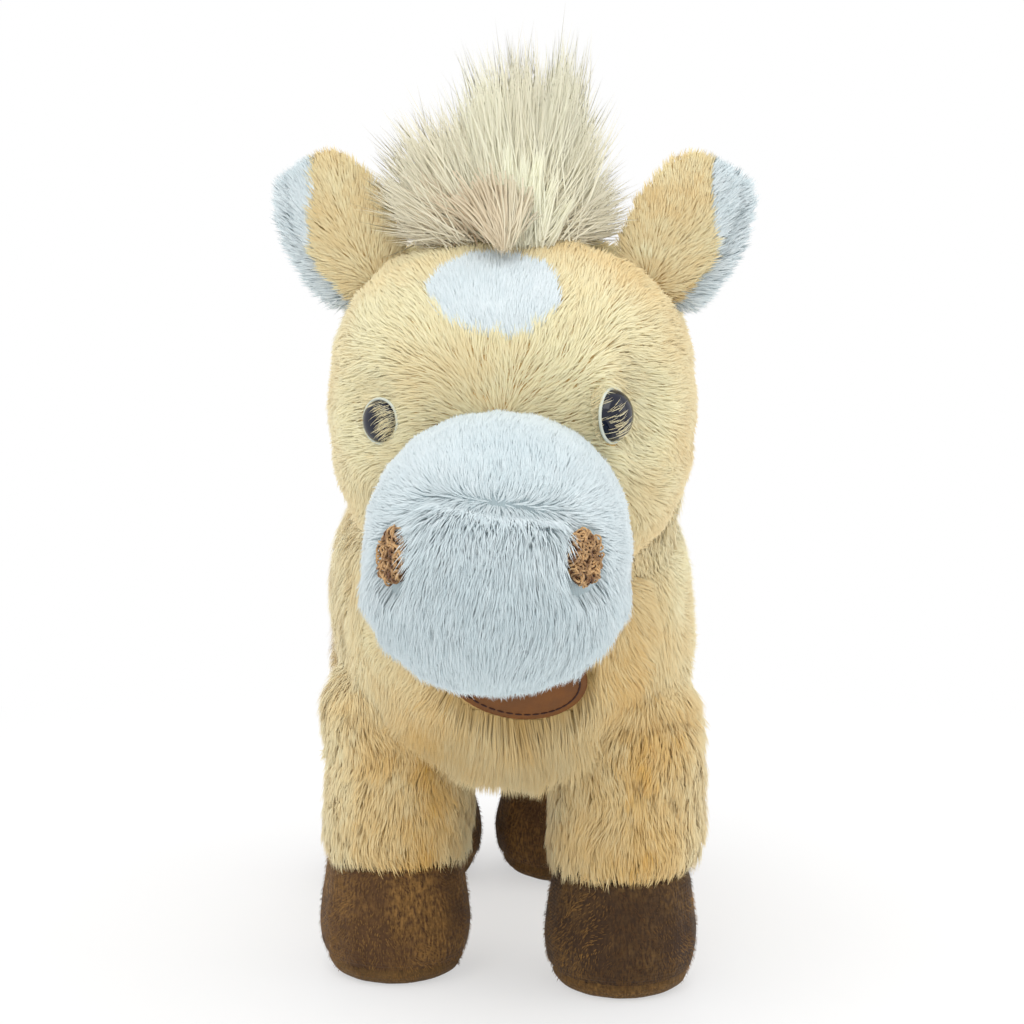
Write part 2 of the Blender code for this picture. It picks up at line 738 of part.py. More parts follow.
def make_eyes(plain, centre):
    """Returns the cutters that let each eye and its stem into the head."""
    seats, stems = [], []
    for side_name, sign in RIGHT_AND_LEFT:
        place, normal = meet(plain, centre, aimed(sign * EYE_SIDE_ANGLE + EYES_ASKEW, EYE_RISE_ANGLE))
        seat = place - normal * EYE_SEAT_DEPTH
        frame = bpy.data.objects.new(f"{side_name}_eye_frame", None)
        PARTS.objects.link(frame)
        frame.parent = HEAD
        frame.matrix_local = Matrix.Translation(seat) @ facing(normal, UP)
        radius = EYE_DIAMETER / 2
        stem_radius = EYE_STEM_DIAMETER / 2
        dome = []
        for step in range(DOME_ARC_STEPS + 1):
            angle = math.pi / 2 * step / DOME_ARC_STEPS
            height = EYE_RIM_HEIGHT + EYE_DOME_HEIGHT * math.cos(angle)
            dome.append((radius * math.sin(angle), height))
        back = SEAM_GAP
        eye_profile = dome + [
            (radius, back),
            (stem_radius, back),
            (stem_radius, -EYE_STEM_LENGTH),
            (0, -EYE_STEM_LENGTH),
        ]
        turned(f"eye_{side_name}", eye_profile, frame, EYE_PLASTIC, EYE_STEPS)
        bore = stem_radius + SEAM_GAP
        washer_top = EYE_SEAT_DEPTH - COVER_WALL - SEAM_GAP
        washer_top -= EYE_DIAMETER * EYE_DIAMETER / HEAD_WIDTH
        washer_bottom = washer_top - WASHER_THICKNESS
        washer_radius = WASHER_DIAMETER / 2
        washer_profile = [
            (bore, washer_top),
            (washer_radius, washer_top),
            (washer_radius, washer_bottom),
            (bore, washer_bottom),
        ]
        turned(f"eye_washer_{side_name}", washer_profile, frame, WASHER_PLASTIC, WASHER_STEPS)
        wide = radius + SEAM_GAP
        deep = EYE_STEM_LENGTH + SEAM_GAP
        seat_profile = [(0, radius), (wide, radius), (wide, 0), (bore, 0), (bore, -deep), (0, -deep)]
        seats.append(turned(f"eye_seat_{side_name}", seat_profile, frame))
        room_radius = washer_radius + SEAM_GAP
        room_bottom = washer_bottom - SEAM_GAP
        room_profile = [
            (0, radius),
            (wide, radius),
            (wide, 0),
            (room_radius, 0),
            (room_radius, room_bottom),
            (bore, room_bottom),
            (bore, -deep),
            (0, -deep),
        ]
        stems.append(turned(f"washer_room_{side_name}", room_profile, frame))
    return seats, stems


def make_ears(plain):
    """Returns the cutters for the grooves that the ear roots stand in."""
    grooves = []
    for side_name, sign in RIGHT_AND_LEFT:
        rise = UP * math.cos(EAR_LEAN) + SIDE * (sign * math.sin(EAR_LEAN))
        start = Vector((sign * EAR_SIDE, -EAR_FORWARD, EAR_ROOT_HEIGHT))
        place, _ = meet(plain, start, rise)
        turn = (0, sign * EAR_LEAN, 0)
        pivot = new_pivot(f"ear_{side_name}_fold", place - rise * EAR_ROOT_DEPTH, HEAD, turn)
        half_step = (EAR_LAYER_THICKNESS + EAR_LAYER_GAP) / 2
        layers = (("ear_front", -half_step, 0, FUR), ("ear_lining", half_step, EAR_LINING_ASIDE, WHITE_FUR))
        for layer_name, back, aside, material in layers:
            layer = standing_skin(
                f"{layer_name}_{side_name}",
                pivot,
                EAR_LENGTH,
                EAR_WIDTH,
                EAR_LAYER_THICKNESS,
                EAR_RING_SHARES,
                EAR_SQUARENESS,
                material,
            )
            layer.location = (sign * aside, back, -EAR_LAYER_THICKNESS / 2)
        bm = bmesh.new()
        bmesh.ops.create_cone(
            bm,
            cap_ends=True,
            segments=LEG_STEPS,
            radius1=EAR_GROOVE_RADIUS,
            radius2=EAR_GROOVE_RADIUS,
            depth=EAR_GROOVE_LENGTH,
            matrix=Matrix.Rotation(math.pi / 2, 4, "Y"),
        )
        name = f"ear_groove_{side_name}"
        grooves.append(new_object(name, mesh_from(name, bm), pivot))
    return grooves


def make_mane(plain, centre):
    """The forelock and the side lock stand on the crown, and the crest runs on towards the nape."""
    start = Vector((0, -FORELOCK_FORWARD, 0))
    crown, _ = meet(plain, start, UP)
    tilt = (0, FORELOCK_TILT, 0)
    root = new_pivot("forelock_root", crown - UP * FORELOCK_SINK, HEAD, tilt)
    forelock = standing_skin(
        "forelock",
        root,
        FORELOCK_HEIGHT + FORELOCK_SINK,
        FORELOCK_WIDTH,
        FORELOCK_DEPTH,
        FORELOCK_RING_SHARES,
        TUFT_SQUARENESS,
        LONG_PILE,
    )
    side_root = new_pivot("side_lock_root", crown - UP * FORELOCK_SINK, HEAD, (0, -SIDE_LOCK_ANGLE, 0))
    lock = standing_skin(
        "side_lock",
        side_root,
        FORELOCK_WIDTH / 2 + SIDE_LOCK_LENGTH,
        SIDE_LOCK_WIDTH,
        SIDE_LOCK_WIDTH,
        FORELOCK_RING_SHARES,
        TUFT_SQUARENESS,
        LONG_PILE,
    )
    outer_skull = head_skin("skull_for_mane")
    offset(outer_skull, SEAM_GAP)
    forelock_gap = forelock_copy("forelock_for_lock", forelock, root)
    cut(forelock, outer_skull)
    cut(lock, outer_skull, forelock_gap)
    crest = crest_skin("mane_crest", LONG_PILE)
    cut(crest, crest_keeper(centre), operation="INTERSECT")
    cut(crest, outer_skull, forelock_gap, NECK_SOCKET)
    return forelock


def forelock_copy(name, forelock, root):
    """A cutter one seam gap larger than the forelock."""
    copy = new_object(name, forelock.data.copy(), root)
    smooth(copy)
    offset(copy, SEAM_GAP)
    return copy


def crest_skin(name, material):
    """A narrow rounded comb that stands a little proud of the skull all round its middle."""
    reach, back = HEAD_FACE_REACH + CREST_PILE, HEAD_NAPE_REACH + CREST_PILE
    top, bottom = HEAD_TOP + CREST_PILE, HEAD_JAW - CREST_PILE
    middle = (top + bottom) / 2
    rings = []
    for along, width, height in HEAD_RING_SHARES:
        centre = Vector((0, -reach + (reach + back) * along, middle))
        rings.append((centre, CREST_WIDTH / 2 * width, (top - bottom) / 2 * height))
    ends = (Vector((0, -reach, middle)), Vector((0, back, middle)))
    box = ((-CREST_WIDTH / 2, -reach, bottom), (CREST_WIDTH / 2, back, top))
    return lofted_skin(name, HEAD, ends, rings, SIDE, UP, TUFT_SQUARENESS, box, material)


def crest_keeper(centre):
    """A wedge from the crest's front angle to its back angle round the middle of the head."""
    reach = HEAD_WIDTH
    bm = bmesh.new()
    outline = [centre.copy()]
    for step in range(CREST_STEPS + 1):
        angle = CREST_FRONT_ANGLE + (CREST_BACK_ANGLE - CREST_FRONT_ANGLE) * step / CREST_STEPS
        outline.append(centre + FORWARD * (reach * math.cos(angle)) + UP * (reach * math.sin(angle)))
    face = bm.faces.new([bm.verts.new(point - SIDE * CREST_WIDTH) for point in outline])
    raised = bmesh.ops.extrude_face_region(bm, geom=[face])
    lifted = [item for item in raised["geom"] if isinstance(item, bmesh.types.BMVert)]
    bmesh.ops.translate(bm, verts=lifted, vec=SIDE * (2 * CREST_WIDTH))
    return new_object("crest_keeper", mesh_from("crest_keeper", bm), HEAD)


def make_muzzle():
    """Two panels over a ball of stuffing, all hollowed where the skull fills them."""
    plain = muzzle_skin("muzzle_guide")
    centre = FORWARD * ((MUZZLE_FRONT_REACH + MUZZLE_BACK_REACH) / 2)
    centre += UP * ((MUZZLE_TOP + MUZZLE_BOTTOM) / 2)
    skull = head_skin("skull_for_muzzle")
    offset(skull, SEAM_GAP)
    reach = MUZZLE_FRONT_REACH
    slope = (BRIDGE_SEAM_SLOPE, 0, 0)
    seam = new_pivot("bridge_seam", FORWARD * MUZZLE_FRONT_REACH + UP * BRIDGE_SEAM_HEIGHT, HEAD, slope)
    half_gap = SEAM_GAP / 2
    above = box_cutter("above_seam", (-reach, -reach, -half_gap), (reach, reach, reach), seam)
    below = box_cutter("below_seam", (-reach, -reach, -reach), (reach, reach, half_gap), seam)
    for name, beyond in (("muzzle_bridge", below), ("muzzle_front", above)):
        panel = muzzle_skin(name, WHITE_FUR)
        shell(panel, COVER_WALL)
        cut(panel, beyond, skull)
    stuffing = muzzle_skin("muzzle_stuffing", STUFFING)
    offset(stuffing, -COVER_WALL - SEAM_GAP)
    cut(stuffing, skull, solver="EXACT")
    for side_name, sign in RIGHT_AND_LEFT:
        place, normal = meet(plain, centre, aimed(sign * NOSTRIL_SIDE_ANGLE, NOSTRIL_RISE_ANGLE))
        frame = bpy.data.objects.new(f"{side_name}_nostril_frame", None)
        PARTS.objects.link(frame)
        frame.parent = HEAD
        frame.matrix_local = Matrix.Translation(place) @ facing(normal, UP)
        pad = muzzle_skin(f"nostril_{side_name}", LOOPED_CLOTH)
        offset(pad, SEAM_GAP + NOSTRIL_THICKNESS)
        shell(pad, NOSTRIL_THICKNESS)
        deep = NOSTRIL_HEIGHT / 2
        oval = oval_prism(
            f"nostril_outline_{side_name}", NOSTRIL_WIDTH, NOSTRIL_HEIGHT, -deep, deep, frame
        )
        cut(pad, oval, operation="INTERSECT")


def make_head():
    plain = head_skin("head_guide")
    centre = FORWARD * ((HEAD_FACE_REACH - HEAD_NAPE_REACH) / 2) + UP * ((HEAD_TOP + HEAD_JAW) / 2)
    seats, stems = make_eyes(plain, centre)
    grooves = make_ears(plain)
    make_mane(plain, centre)
    place, normal = meet(plain, centre, aimed(0, SPOT_RISE_ANGLE))
    frame = bpy.data.objects.new("spot_frame", None)
    PARTS.objects.link(frame)
    frame.parent = HEAD
    frame.matrix_local = Matrix.Translation(place) @ facing(normal, UP)
    deep = HEAD_TOP / 4
    grown = SEAM_GAP * 2
    hole = oval_prism("spot_hole", SPOT_WIDTH + grown, SPOT_HEIGHT + grown, -deep, deep, frame)
    outline = oval_prism("spot_outline", SPOT_WIDTH, SPOT_HEIGHT, -deep, deep, frame)
    reach = TOY_LENGTH_BOUND
    for side_name, sign in RIGHT_AND_LEFT:
        piece = head_skin(f"head_side_{side_name}", FUR)
        shell(piece, COVER_WALL)
        inner, outer = -sign * reach, sign * SEAM_GAP / 2
        other_half = box_cutter(
            f"beyond_{side_name}_head",
            (min(inner, outer), -reach, -reach),
            (max(inner, outer), reach, reach),
            HEAD,
        )
        own = 0 if side_name == "right" else 1
        cut(piece, NECK_SOCKET, grooves[own], seats[own], hole, other_half)
    spot = head_skin("forehead_spot", WHITE_FUR)
    shell(spot, COVER_WALL)
    cut(spot, outline, operation="INTERSECT")
    stuffing = head_skin("head_stuffing", STUFFING)
    offset(stuffing, -COVER_WALL - SEAM_GAP)
    cut(stuffing, NECK_SOCKET, *stems, *grooves, solver="EXACT")


def make_tail(tail):
    """A sewn ball root, and a lock of long pile that hangs flat against the rump behind it."""
    root_mesh = ball_mesh("tail_root", TAIL_ROOT_RADIUS, BEAD_SEGMENTS)
    new_object("tail_root", root_mesh, tail, LONG_PILE)
    length = TAIL_LENGTH + TAIL_ROOT_RADIUS
    front = UP * TAIL_ROOT_RADIUS - FORWARD * TAIL_SET_BACK
    rings = []
    for along, wide, thick in TAIL_RING_SHARES:
        half_thick = TAIL_THICKNESS / 2 * thick
        centre = front - FORWARD * half_thick - UP * (length * along)
        rings.append((centre, TAIL_WIDTH / 2 * wide, half_thick))
    middle = front - FORWARD * (TAIL_THICKNESS / 4)
    ends = (middle, middle - UP * length)
    box = (
        (-TAIL_WIDTH / 2, TAIL_SET_BACK, -TAIL_LENGTH),
        (TAIL_WIDTH / 2, TAIL_SET_BACK + TAIL_THICKNESS, TAIL_ROOT_RADIUS),
    )
    lock = lofted_skin(
        "tail_lock",
        tail,
        ends,
        rings,
        SIDE,
        -FORWARD,
        TUFT_SQUARENESS,
        box,
        LONG_PILE,
        SMALL_CAGE_POINTS,
    )
    root_room = ball_mesh("tail_root_room", TAIL_ROOT_RADIUS + SEAM_GAP, BEAD_SEGMENTS)
    cut(lock, new_object("tail_root_room", root_room, tail))


def centre_on_origin():
    """Stands the toy with the middle of its box over the origin."""
    lows, highs = [math.inf] * 2, [-math.inf] * 2
    for obj in PARTS.objects:
        if obj.type != "MESH":
            continue
        shown = evaluated(obj)
        mesh = shown.to_mesh()
        for vert in mesh.vertices:
            point = shown.matrix_world @ vert.co
            for axis in range(2):
                lows[axis] = min(lows[axis], point[axis])
                highs[axis] = max(highs[axis], point[axis])
        shown.to_mesh_clear()
    TOY.location.x = -(lows[0] + highs[0]) / 2
    TOY.location.y = -(lows[1] + highs[1]) / 2
    bpy.context.view_layer.update()


trunk_guide, TAIL = make_trunk()
make_neck()
for leg_name, _, _, leg_radius, leg_hoof_radius in LEGS:
    make_leg(leg_name, leg_radius, leg_hoof_radius)
make_label(trunk_guide)
make_head()
make_muzzle()
make_tail(TAIL)
centre_on_origin()
for pivot in (obj for obj in PARTS.objects if obj.type == "EMPTY"):
    print(pivot.name, [round(value, 6) for value in pivot.matrix_world.translation])
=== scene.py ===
"""Looks of the plush horse: its soft skins, brushed fur, long pile, eyes, nostrils, label and stage.

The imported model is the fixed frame. Each operator below makes one piece or one group of like pieces.
"""

import json
import math

import bpy
import numpy as np
from mathutils import Matrix, Vector
from mathutils.bvhtree import BVHTree
from mathutils.kdtree import KDTree


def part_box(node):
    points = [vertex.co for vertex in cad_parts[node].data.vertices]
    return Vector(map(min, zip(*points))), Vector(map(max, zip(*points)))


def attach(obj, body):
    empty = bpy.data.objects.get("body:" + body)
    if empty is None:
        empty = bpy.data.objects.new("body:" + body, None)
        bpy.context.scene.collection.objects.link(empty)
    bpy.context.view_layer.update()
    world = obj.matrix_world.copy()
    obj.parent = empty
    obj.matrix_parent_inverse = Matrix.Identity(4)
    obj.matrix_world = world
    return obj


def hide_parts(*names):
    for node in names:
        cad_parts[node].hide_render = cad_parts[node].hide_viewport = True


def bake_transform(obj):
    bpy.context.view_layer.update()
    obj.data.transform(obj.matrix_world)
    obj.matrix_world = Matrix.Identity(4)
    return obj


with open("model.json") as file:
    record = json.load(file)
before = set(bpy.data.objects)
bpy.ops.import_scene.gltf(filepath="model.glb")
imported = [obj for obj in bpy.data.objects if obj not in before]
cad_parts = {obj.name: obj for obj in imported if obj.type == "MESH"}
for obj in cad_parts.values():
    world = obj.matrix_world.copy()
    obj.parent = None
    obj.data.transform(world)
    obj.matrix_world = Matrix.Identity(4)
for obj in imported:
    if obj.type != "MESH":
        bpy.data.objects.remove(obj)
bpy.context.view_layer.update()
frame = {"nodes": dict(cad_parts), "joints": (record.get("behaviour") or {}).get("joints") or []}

bl_info = {
    "name": "Plush Horse Looks",
    "version": (1, 0, 0),
    "blender": (4, 5, 0),
    "location": "View3D > Sidebar > Plush Horse",
    "description": "Dresses the plush horse's frame in fur, long pile and short-pile hooves",
    "category": "Object",
}

MM = 0.001
TAU = 2 * math.pi
GOLDEN_TURN = math.pi * (3 - math.sqrt(5))
UP = np.array((0.0, 0.0, 1.0))
DOWN = -UP
BACK = np.array((0.0, 1.0, 0.0))
FRONT = -BACK
FUR_MAP = "OFBake"
LEGS = ("front_left", "front_right", "rear_left", "rear_right")
SIDES = ("left", "right")


def srgb(red, green, blue):
    """The shader's linear colour of a colour given from 0 to 255."""
    shares = [value / 255 for value in (red, green, blue)]
    return tuple(x / 12.92 if x <= 0.04045 else ((x + 0.055) / 1.055) ** 2.4 for x in shares)


def colour_property(name, description, default):
    return bpy.props.FloatVectorProperty(
        name=name, description=description, default=default, subtype="COLOR", size=3, min=0, max=1
    )


def number_property(name, description, default, **more):
    return bpy.props.FloatProperty(name=name, description=description, default=default, min=0, **more)


def length_property(name, description, default):
    return number_property(name, description, default, unit="LENGTH")


def angle_property(name, description, degrees):
    return bpy.props.FloatProperty(
        name=name, description=description, default=math.radians(degrees), subtype="ANGLE"
    )


class PlushPile(bpy.types.PropertyGroup):
    """Lengths and lie of the fur."""

    body_length: length_property("Body pile", "Length of the fur on the trunk", 8.5 * MM)
    leg_length: length_property("Leg pile", "Length of the fur on the legs", 7.0 * MM)
    head_length: length_property("Head pile", "Length of the fur on the head", 5.2 * MM)
    bridge_length: length_property("Bridge pile", "Length of the clipped fur on the nose", 4.0 * MM)
    muzzle_length: length_property("Muzzle pile", "Length of the combed fur on the muzzle", 8.0 * MM)
    ear_length: length_property("Ear pile", "Length of the fur on the ears", 4.5 * MM)
    hoof_length: length_property("Hoof pile", "Length of the pile on the hooves", 1.4 * MM)
    tail_root_length: length_property("Tail root pile", "Length of the fur on the tail's root", 4.5 * MM)
    strand_width: length_property("Strand width", "Width of one strand of fur", 0.28 * MM)
    long_strand_width: length_property("Long strand width", "Width of one strand of mane", 0.36 * MM)
    lean: angle_property("Lean", "Angle of the fur to the skin's normal", 69)
    density: number_property("Density", "Share of the full number of strands", 1.0, soft_max=1)


class PlushColours(bpy.types.PropertyGroup):
    """Colours of the cloths and trims."""

    # The deep fur colours also carry painted shade: at the roots, low down, in the partings, towards the chin
    # and inside the lock beside the forelock
    butter_pale: colour_property("Butter tips", "Palest yellow fur", srgb(247, 240, 200))
    butter_deep: colour_property("Butter shade", "Deepest yellow fur", srgb(228, 176, 74))
    white_pale: colour_property("White tips", "Palest bluish-white fur", srgb(240, 248, 250))
    white_deep: colour_property("White shade", "Deepest bluish-white fur", srgb(196, 214, 219))
    beige_pale: colour_property("Mane tips", "Palest long pile", srgb(251, 251, 226))
    beige_deep: colour_property("Mane shade", "Deepest long pile", srgb(206, 172, 132))
    hoof_pale: colour_property("Hoof light", "Hoof pile brushed towards the light", srgb(160, 118, 60))
    hoof_deep: colour_property("Hoof dark", "Hoof pile brushed away from the light", srgb(88, 58, 28))
    yarn: colour_property("Nostril yarn", "Looped yarn of the nostrils", srgb(214, 174, 122))
    # The dark of the gaps between the nostril loops is painted shade
    yarn_deep: colour_property("Nostril gaps", "Gaps between the loops", srgb(110, 72, 42))
    leather: colour_property("Label", "Imitation leather of the label", srgb(122, 72, 18))
    thread: colour_property("Label thread", "Stitches of the label", srgb(60, 26, 14))
    eye: colour_property("Eye", "Dark navy plastic of the eyes", srgb(14, 20, 40))
    eye_rim: colour_property("Eye rim", "Pale edge round the eyes", srgb(226, 232, 218))
    washer: colour_property("Washer", "Moulded washers behind the eyes", srgb(234, 234, 229))


class PlushStage(bpy.types.PropertyGroup):
    """Camera and light."""

    camera_distance: length_property("Camera distance", "From the camera to the toy's middle", 0.80)
    camera_height: length_property("Aim height", "Height that the camera aims at", 0.118)
    camera_aim_back: length_property("Aim depth", "How far behind the origin the camera aims", 0.0089)
    camera_aim_side: length_property("Aim side", "How far to the side the camera aims", 0.0033)
    elevation: angle_property("Elevation", "Camera's angle above the floor", 9.5)
    azimuth: angle_property("Azimuth", "Camera's angle round the toy", -5)
    lens: number_property("Lens", "Focal length in mm", 108.2)
    key_power: number_property("Key light", "Power of the large front light", 7.9, unit="POWER")
    fill: number_property("Fill", "Strength of the light from above", 0.97)


def pile():
    return bpy.context.scene.plush_pile


def colours():
    return bpy.context.scene.plush_colours


def unit(vectors):
    return vectors / np.maximum(np.linalg.norm(vectors, axis=-1, keepdims=True), 1e-12)


def laid(vectors, normals):
    """The vectors turned to lie along the skin."""
    return unit(vectors - (vectors * normals).sum(-1, keepdims=True) * normals)


def bell(values):
    """1 at zero, falling away on both sides."""
    return np.exp(-(values**2))


def smooth_step(values, start, end):
    shares = np.clip((values - start) / (end - start), 0, 1)
    return shares * shares * (3 - 2 * shares)


WAVES = 7
WAVE_LIFT = 2.0


def waves(points, length, seed):
    """Smooth noise of about -1 to 1 whose bumps are about this length apart."""
    rng = np.random.default_rng(seed)
    turns = unit(rng.normal(size=(WAVES, 3))) * rng.uniform(0.6, 1.5, (WAVES, 1)) * TAU / length
    phases = rng.uniform(0, TAU, WAVES)
    return np.sin(points @ turns.T + phases).mean(1) * WAVE_LIFT


def middle(*nodes):
    """The middle of the box round these CAD nodes."""
    lows, highs = zip(*(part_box(node) for node in nodes))
    return (np.min(lows, axis=0) + np.max(highs, axis=0)) / 2


def joint_named(name):
    return next(joint for joint in frame["joints"] if joint["name"] == name)


HEAD_SIDE = np.array(joint_named("head_nod")["axis"])
HEAD_FACE = np.array((HEAD_SIDE[1], -HEAD_SIDE[0], 0.0))


class Wire:
    """A value on its way through a tree of nodes. Arithmetic on it adds Math nodes."""

    def __init__(self, maker, socket):
        self.maker = maker
        self.socket = socket

    def math(self, operation, *values):
        return self.maker.node("ShaderNodeMath", {"operation": operation}, values)

    def __add__(self, other):
        return self.math("ADD", self, other)

    def __mul__(self, other):
        return self.math("MULTIPLY", self, other)

    def __rsub__(self, other):
        return self.math("SUBTRACT", other, self)

    __radd__ = __add__
    __rmul__ = __mul__

    def between(self, low, high):
        """0 below low, 1 above high, smooth in between."""
        settings = {"interpolation_type": "SMOOTHSTEP"}
        values = {"Value": self, "From Min": low, "From Max": high}
        return self.maker.node("ShaderNodeMapRange", settings, values)


class Nodes:
    """The nodes of a material or a world."""

    def __init__(self, tree):
        self.tree = tree

    def feed(self, socket, value):
        if isinstance(value, Wire):
            self.tree.links.new(value.socket, socket)
        elif socket.type == "RGBA":
            socket.default_value = (*value[:3], 1)
        else:
            socket.default_value = value

    def node(self, kind, settings=None, values=(), output=0):
        """A node with its settings made first, then its inputs fed. Returns the named or numbered output."""
        made = self.tree.nodes.new(kind)
        for name, value in (settings or {}).items():
            setattr(made, name, value)
        pairs = values.items() if isinstance(values, dict) else enumerate(values)
        for key, value in pairs:
            self.feed(made.inputs[key], value)
        return Wire(self, made.outputs[output])

    def shown_plainly(self):
        """1 on rays from the camera, a mirror or clear plastic, and 0 on rays that light the toy."""
        path = self.tree.nodes.new("ShaderNodeLightPath")
        seen = Wire(self, path.outputs["Is Camera Ray"])
        for name in ("Is Glossy Ray", "Is Transmission Ray"):
            seen = seen.math("MAXIMUM", seen, Wire(self, path.outputs[name]))
        return seen


class Finish(Nodes):
    """One material: a Principled shader and the nodes that feed it."""

    def __init__(self, name, **constants):
        self.material = bpy.data.materials.new(name)
        self.material.use_nodes = True
        super().__init__(self.material.node_tree)
        self.shader = self.tree.nodes["Principled BSDF"]
        for socket, value in constants.items():
            self.shader.inputs[socket.replace("_", " ").title().replace("Ior", "IOR")].default_value = value

    def place(self):
        """The point on the piece, in the frame's metres."""
        return self.node("ShaderNodeTexCoord", output="Object")

    def noise(self, scale, detail=3.0, vector=None):
        values = {"Vector": vector or self.place(), "Scale": scale, "Detail": detail}
        return self.node("ShaderNodeTexNoise", {}, values)

    def mix(self, share, first, second):
        """A colour between two colours."""
        made = self.tree.nodes.new("ShaderNodeMix")
        made.data_type = "RGBA"
        by_name = {socket.identifier: socket for socket in made.inputs}
        for name, value in (("Factor_Float", share), ("A_Color", first), ("B_Color", second)):
            self.feed(by_name[name], value)
        return Wire(self, next(s for s in made.outputs if s.identifier == "Result_Color"))

    def bump(self, height, strength, distance):
        values = {"Height": height, "Strength": strength, "Distance": distance}
        return self.node("ShaderNodeBump", {}, values)

    def close(self, colour, **others):
        self.feed(self.shader.inputs["Base Color"], colour)
        for name, value in others.items():
            self.feed(self.shader.inputs[name.title()], value)
        return self.material


def darker(colour, share):
    return tuple(value * share for value in colour[:3])


def blended(first, second, share):
    return tuple(a + (b - a) * share for a, b in zip(first[:3], second[:3]))


KNIT_DEPTH = 0.2 * MM
PILE_DEPTH = 0.5 * MM
YARN_DEPTH = 0.1 * MM
GRAIN_DEPTH = 0.15 * MM
TWIST_DEPTH = 0.05 * MM


def fur_finish(name, cloth, root_shade_share, root_paleness=0.6, sheen=0.15):
    """Fur of one cloth, whose map holds its tone across and its way from root to tip upward."""
    deep = getattr(colours(), cloth + "_deep")
    pale = getattr(colours(), cloth + "_pale")
    finish = Finish(name, roughness=0.9, sheen_weight=sheen, sheen_roughness=0.5)
    spot = finish.node("ShaderNodeUVMap", {"uv_map": FUR_MAP}, output="UV")
    tone, way = (finish.node("ShaderNodeSeparateXYZ", {}, [spot], output=axis) for axis in "XY")
    tip = finish.mix(tone, deep, pale)
    # The roots are darker than the tips: painted shade inside the pile
    root = finish.mix(tone, darker(deep, root_shade_share), blended(deep, pale, root_paleness))
    return finish.close(finish.mix(way.between(0.0, 0.6), root, tip))


def backing_finish(name, colour):
    """The knitted backing that shows between the roots of the fur."""
    finish = Finish(name, roughness=0.95)
    blotches = finish.noise(90, 2.0)
    rows = finish.node("ShaderNodeTexWave", {}, {"Vector": finish.place(), "Scale": 420, "Distortion": 1.5})
    shade = finish.mix(blotches.between(0.35, 0.65), darker(colour, 0.82), colour)
    return finish.close(shade, normal=finish.bump(rows, 0.3, KNIT_DEPTH))


def butter_backing(name):
    return backing_finish(name, blended(colours().butter_deep, colours().butter_pale, 0.3))


def white_backing(name):
    return backing_finish(name, darker(colours().white_deep, 0.9))


def hoof_finish(name, deep_share=1.0, pale_share=1.0, pale_only=False):
    """Short brown pile, mottled where it is brushed two ways, with the knit showing through; the mottle is
    painted light and shade of the two ways of the pile.
    """
    deep = darker(colours().hoof_pale if pale_only else colours().hoof_deep, deep_share)
    pale = darker(colours().hoof_pale, pale_share)
    finish = Finish(name, sheen_weight=0.05, sheen_roughness=0.4)
    place = finish.place()
    brushed = finish.noise(75, 4.0)
    drawn_out = finish.node("ShaderNodeMapping", {}, {"Vector": place, "Scale": (1, 1, 0.35)})
    fibres = finish.noise(1500, 2.0, drawn_out)
    rows = finish.node("ShaderNodeTexWave", {"bands_direction": "Z"}, {"Vector": place, "Scale": 340})
    mottle = finish.mix(brushed.between(0.3, 0.7), deep, pale)
    shade = finish.mix(fibres.between(0.3, 0.75), darker(deep, 0.75), mottle)
    height = fibres * 0.7 + rows * 0.3
    return finish.close(shade, roughness=0.96 - fibres * 0.12, normal=finish.bump(height, 0.7, PILE_DEPTH))


def yarn_finish(name, deep, pale):
    """Looped yarn, pale on the loops and dark in the gaps, where shade is painted in."""
    finish = Finish(name, roughness=0.85, sheen_weight=0.2)
    fibres = finish.noise(2600, 3.0)
    blotches = finish.noise(420, 2.0)
    shade = finish.mix(blotches.between(0.3, 0.6), deep, pale)
    shade = finish.mix(fibres.between(0.4, 0.7) * 0.45, shade, darker(deep, 0.8))
    return finish.close(shade, normal=finish.bump(fibres, 0.5, YARN_DEPTH))


def leather_finish(name, colour):
    """Matt imitation leather with a fine grain."""
    finish = Finish(name)
    grain = finish.node("ShaderNodeTexVoronoi", {}, {"Vector": finish.place(), "Scale": 1500}, "Distance")
    wear = finish.noise(180, 4.0)
    shade = finish.mix(wear.between(0.35, 0.7), darker(colour, 0.78), colour)
    return finish.close(shade, roughness=0.58 + wear * 0.15, normal=finish.bump(grain, 0.35, GRAIN_DEPTH))


def thread_finish(name, colour):
    """Twisted sewing thread."""
    finish = Finish(name)
    twist = finish.noise(3000, 2.0)
    shade = finish.mix(twist, darker(colour, 0.7), colour)
    return finish.close(shade, roughness=0.7 + twist * 0.2, normal=finish.bump(twist, 0.4, TWIST_DEPTH))


def plastic_finish(name, colour, gloss):
    """Moulded plastic, with a faint unevenness in its polish."""
    finish = Finish(name, ior=1.45)
    haze = finish.noise(260, 3.0)
    shade = finish.mix(haze.between(0.3, 0.8), darker(colour, 0.85), colour)
    return finish.close(shade, roughness=0.5 - 0.45 * gloss + haze * 0.05)


def only(obj):
    """Deselects all else and makes this the active object."""
    bpy.ops.object.select_all(action="DESELECT")
    obj.select_set(True)
    bpy.context.view_layer.objects.active = obj


def apply_modifier(obj, kind, **settings):
    only(obj)
    modifier = obj.modifiers.new(kind.title(), kind)
    for name, value in settings.items():
        setattr(modifier, name, value)
    bpy.ops.object.modifier_apply(modifier=modifier.name)


def edit_all(piece, operation, **settings):
    """Runs an edit-mode operation on the whole mesh."""
    only(piece)
    bpy.ops.object.mode_set(mode="EDIT")
    bpy.ops.mesh.select_all(action="SELECT")
    operation(**settings)
    bpy.ops.object.mode_set(mode="OBJECT")


def added(kind, name, **settings):
    """A new mesh primitive of this kind."""
    bpy.ops.object.select_all(action="DESELECT")
    getattr(bpy.ops.mesh, f"primitive_{kind}_add")(**settings)
    bpy.context.object.name = name
    return bpy.context.object


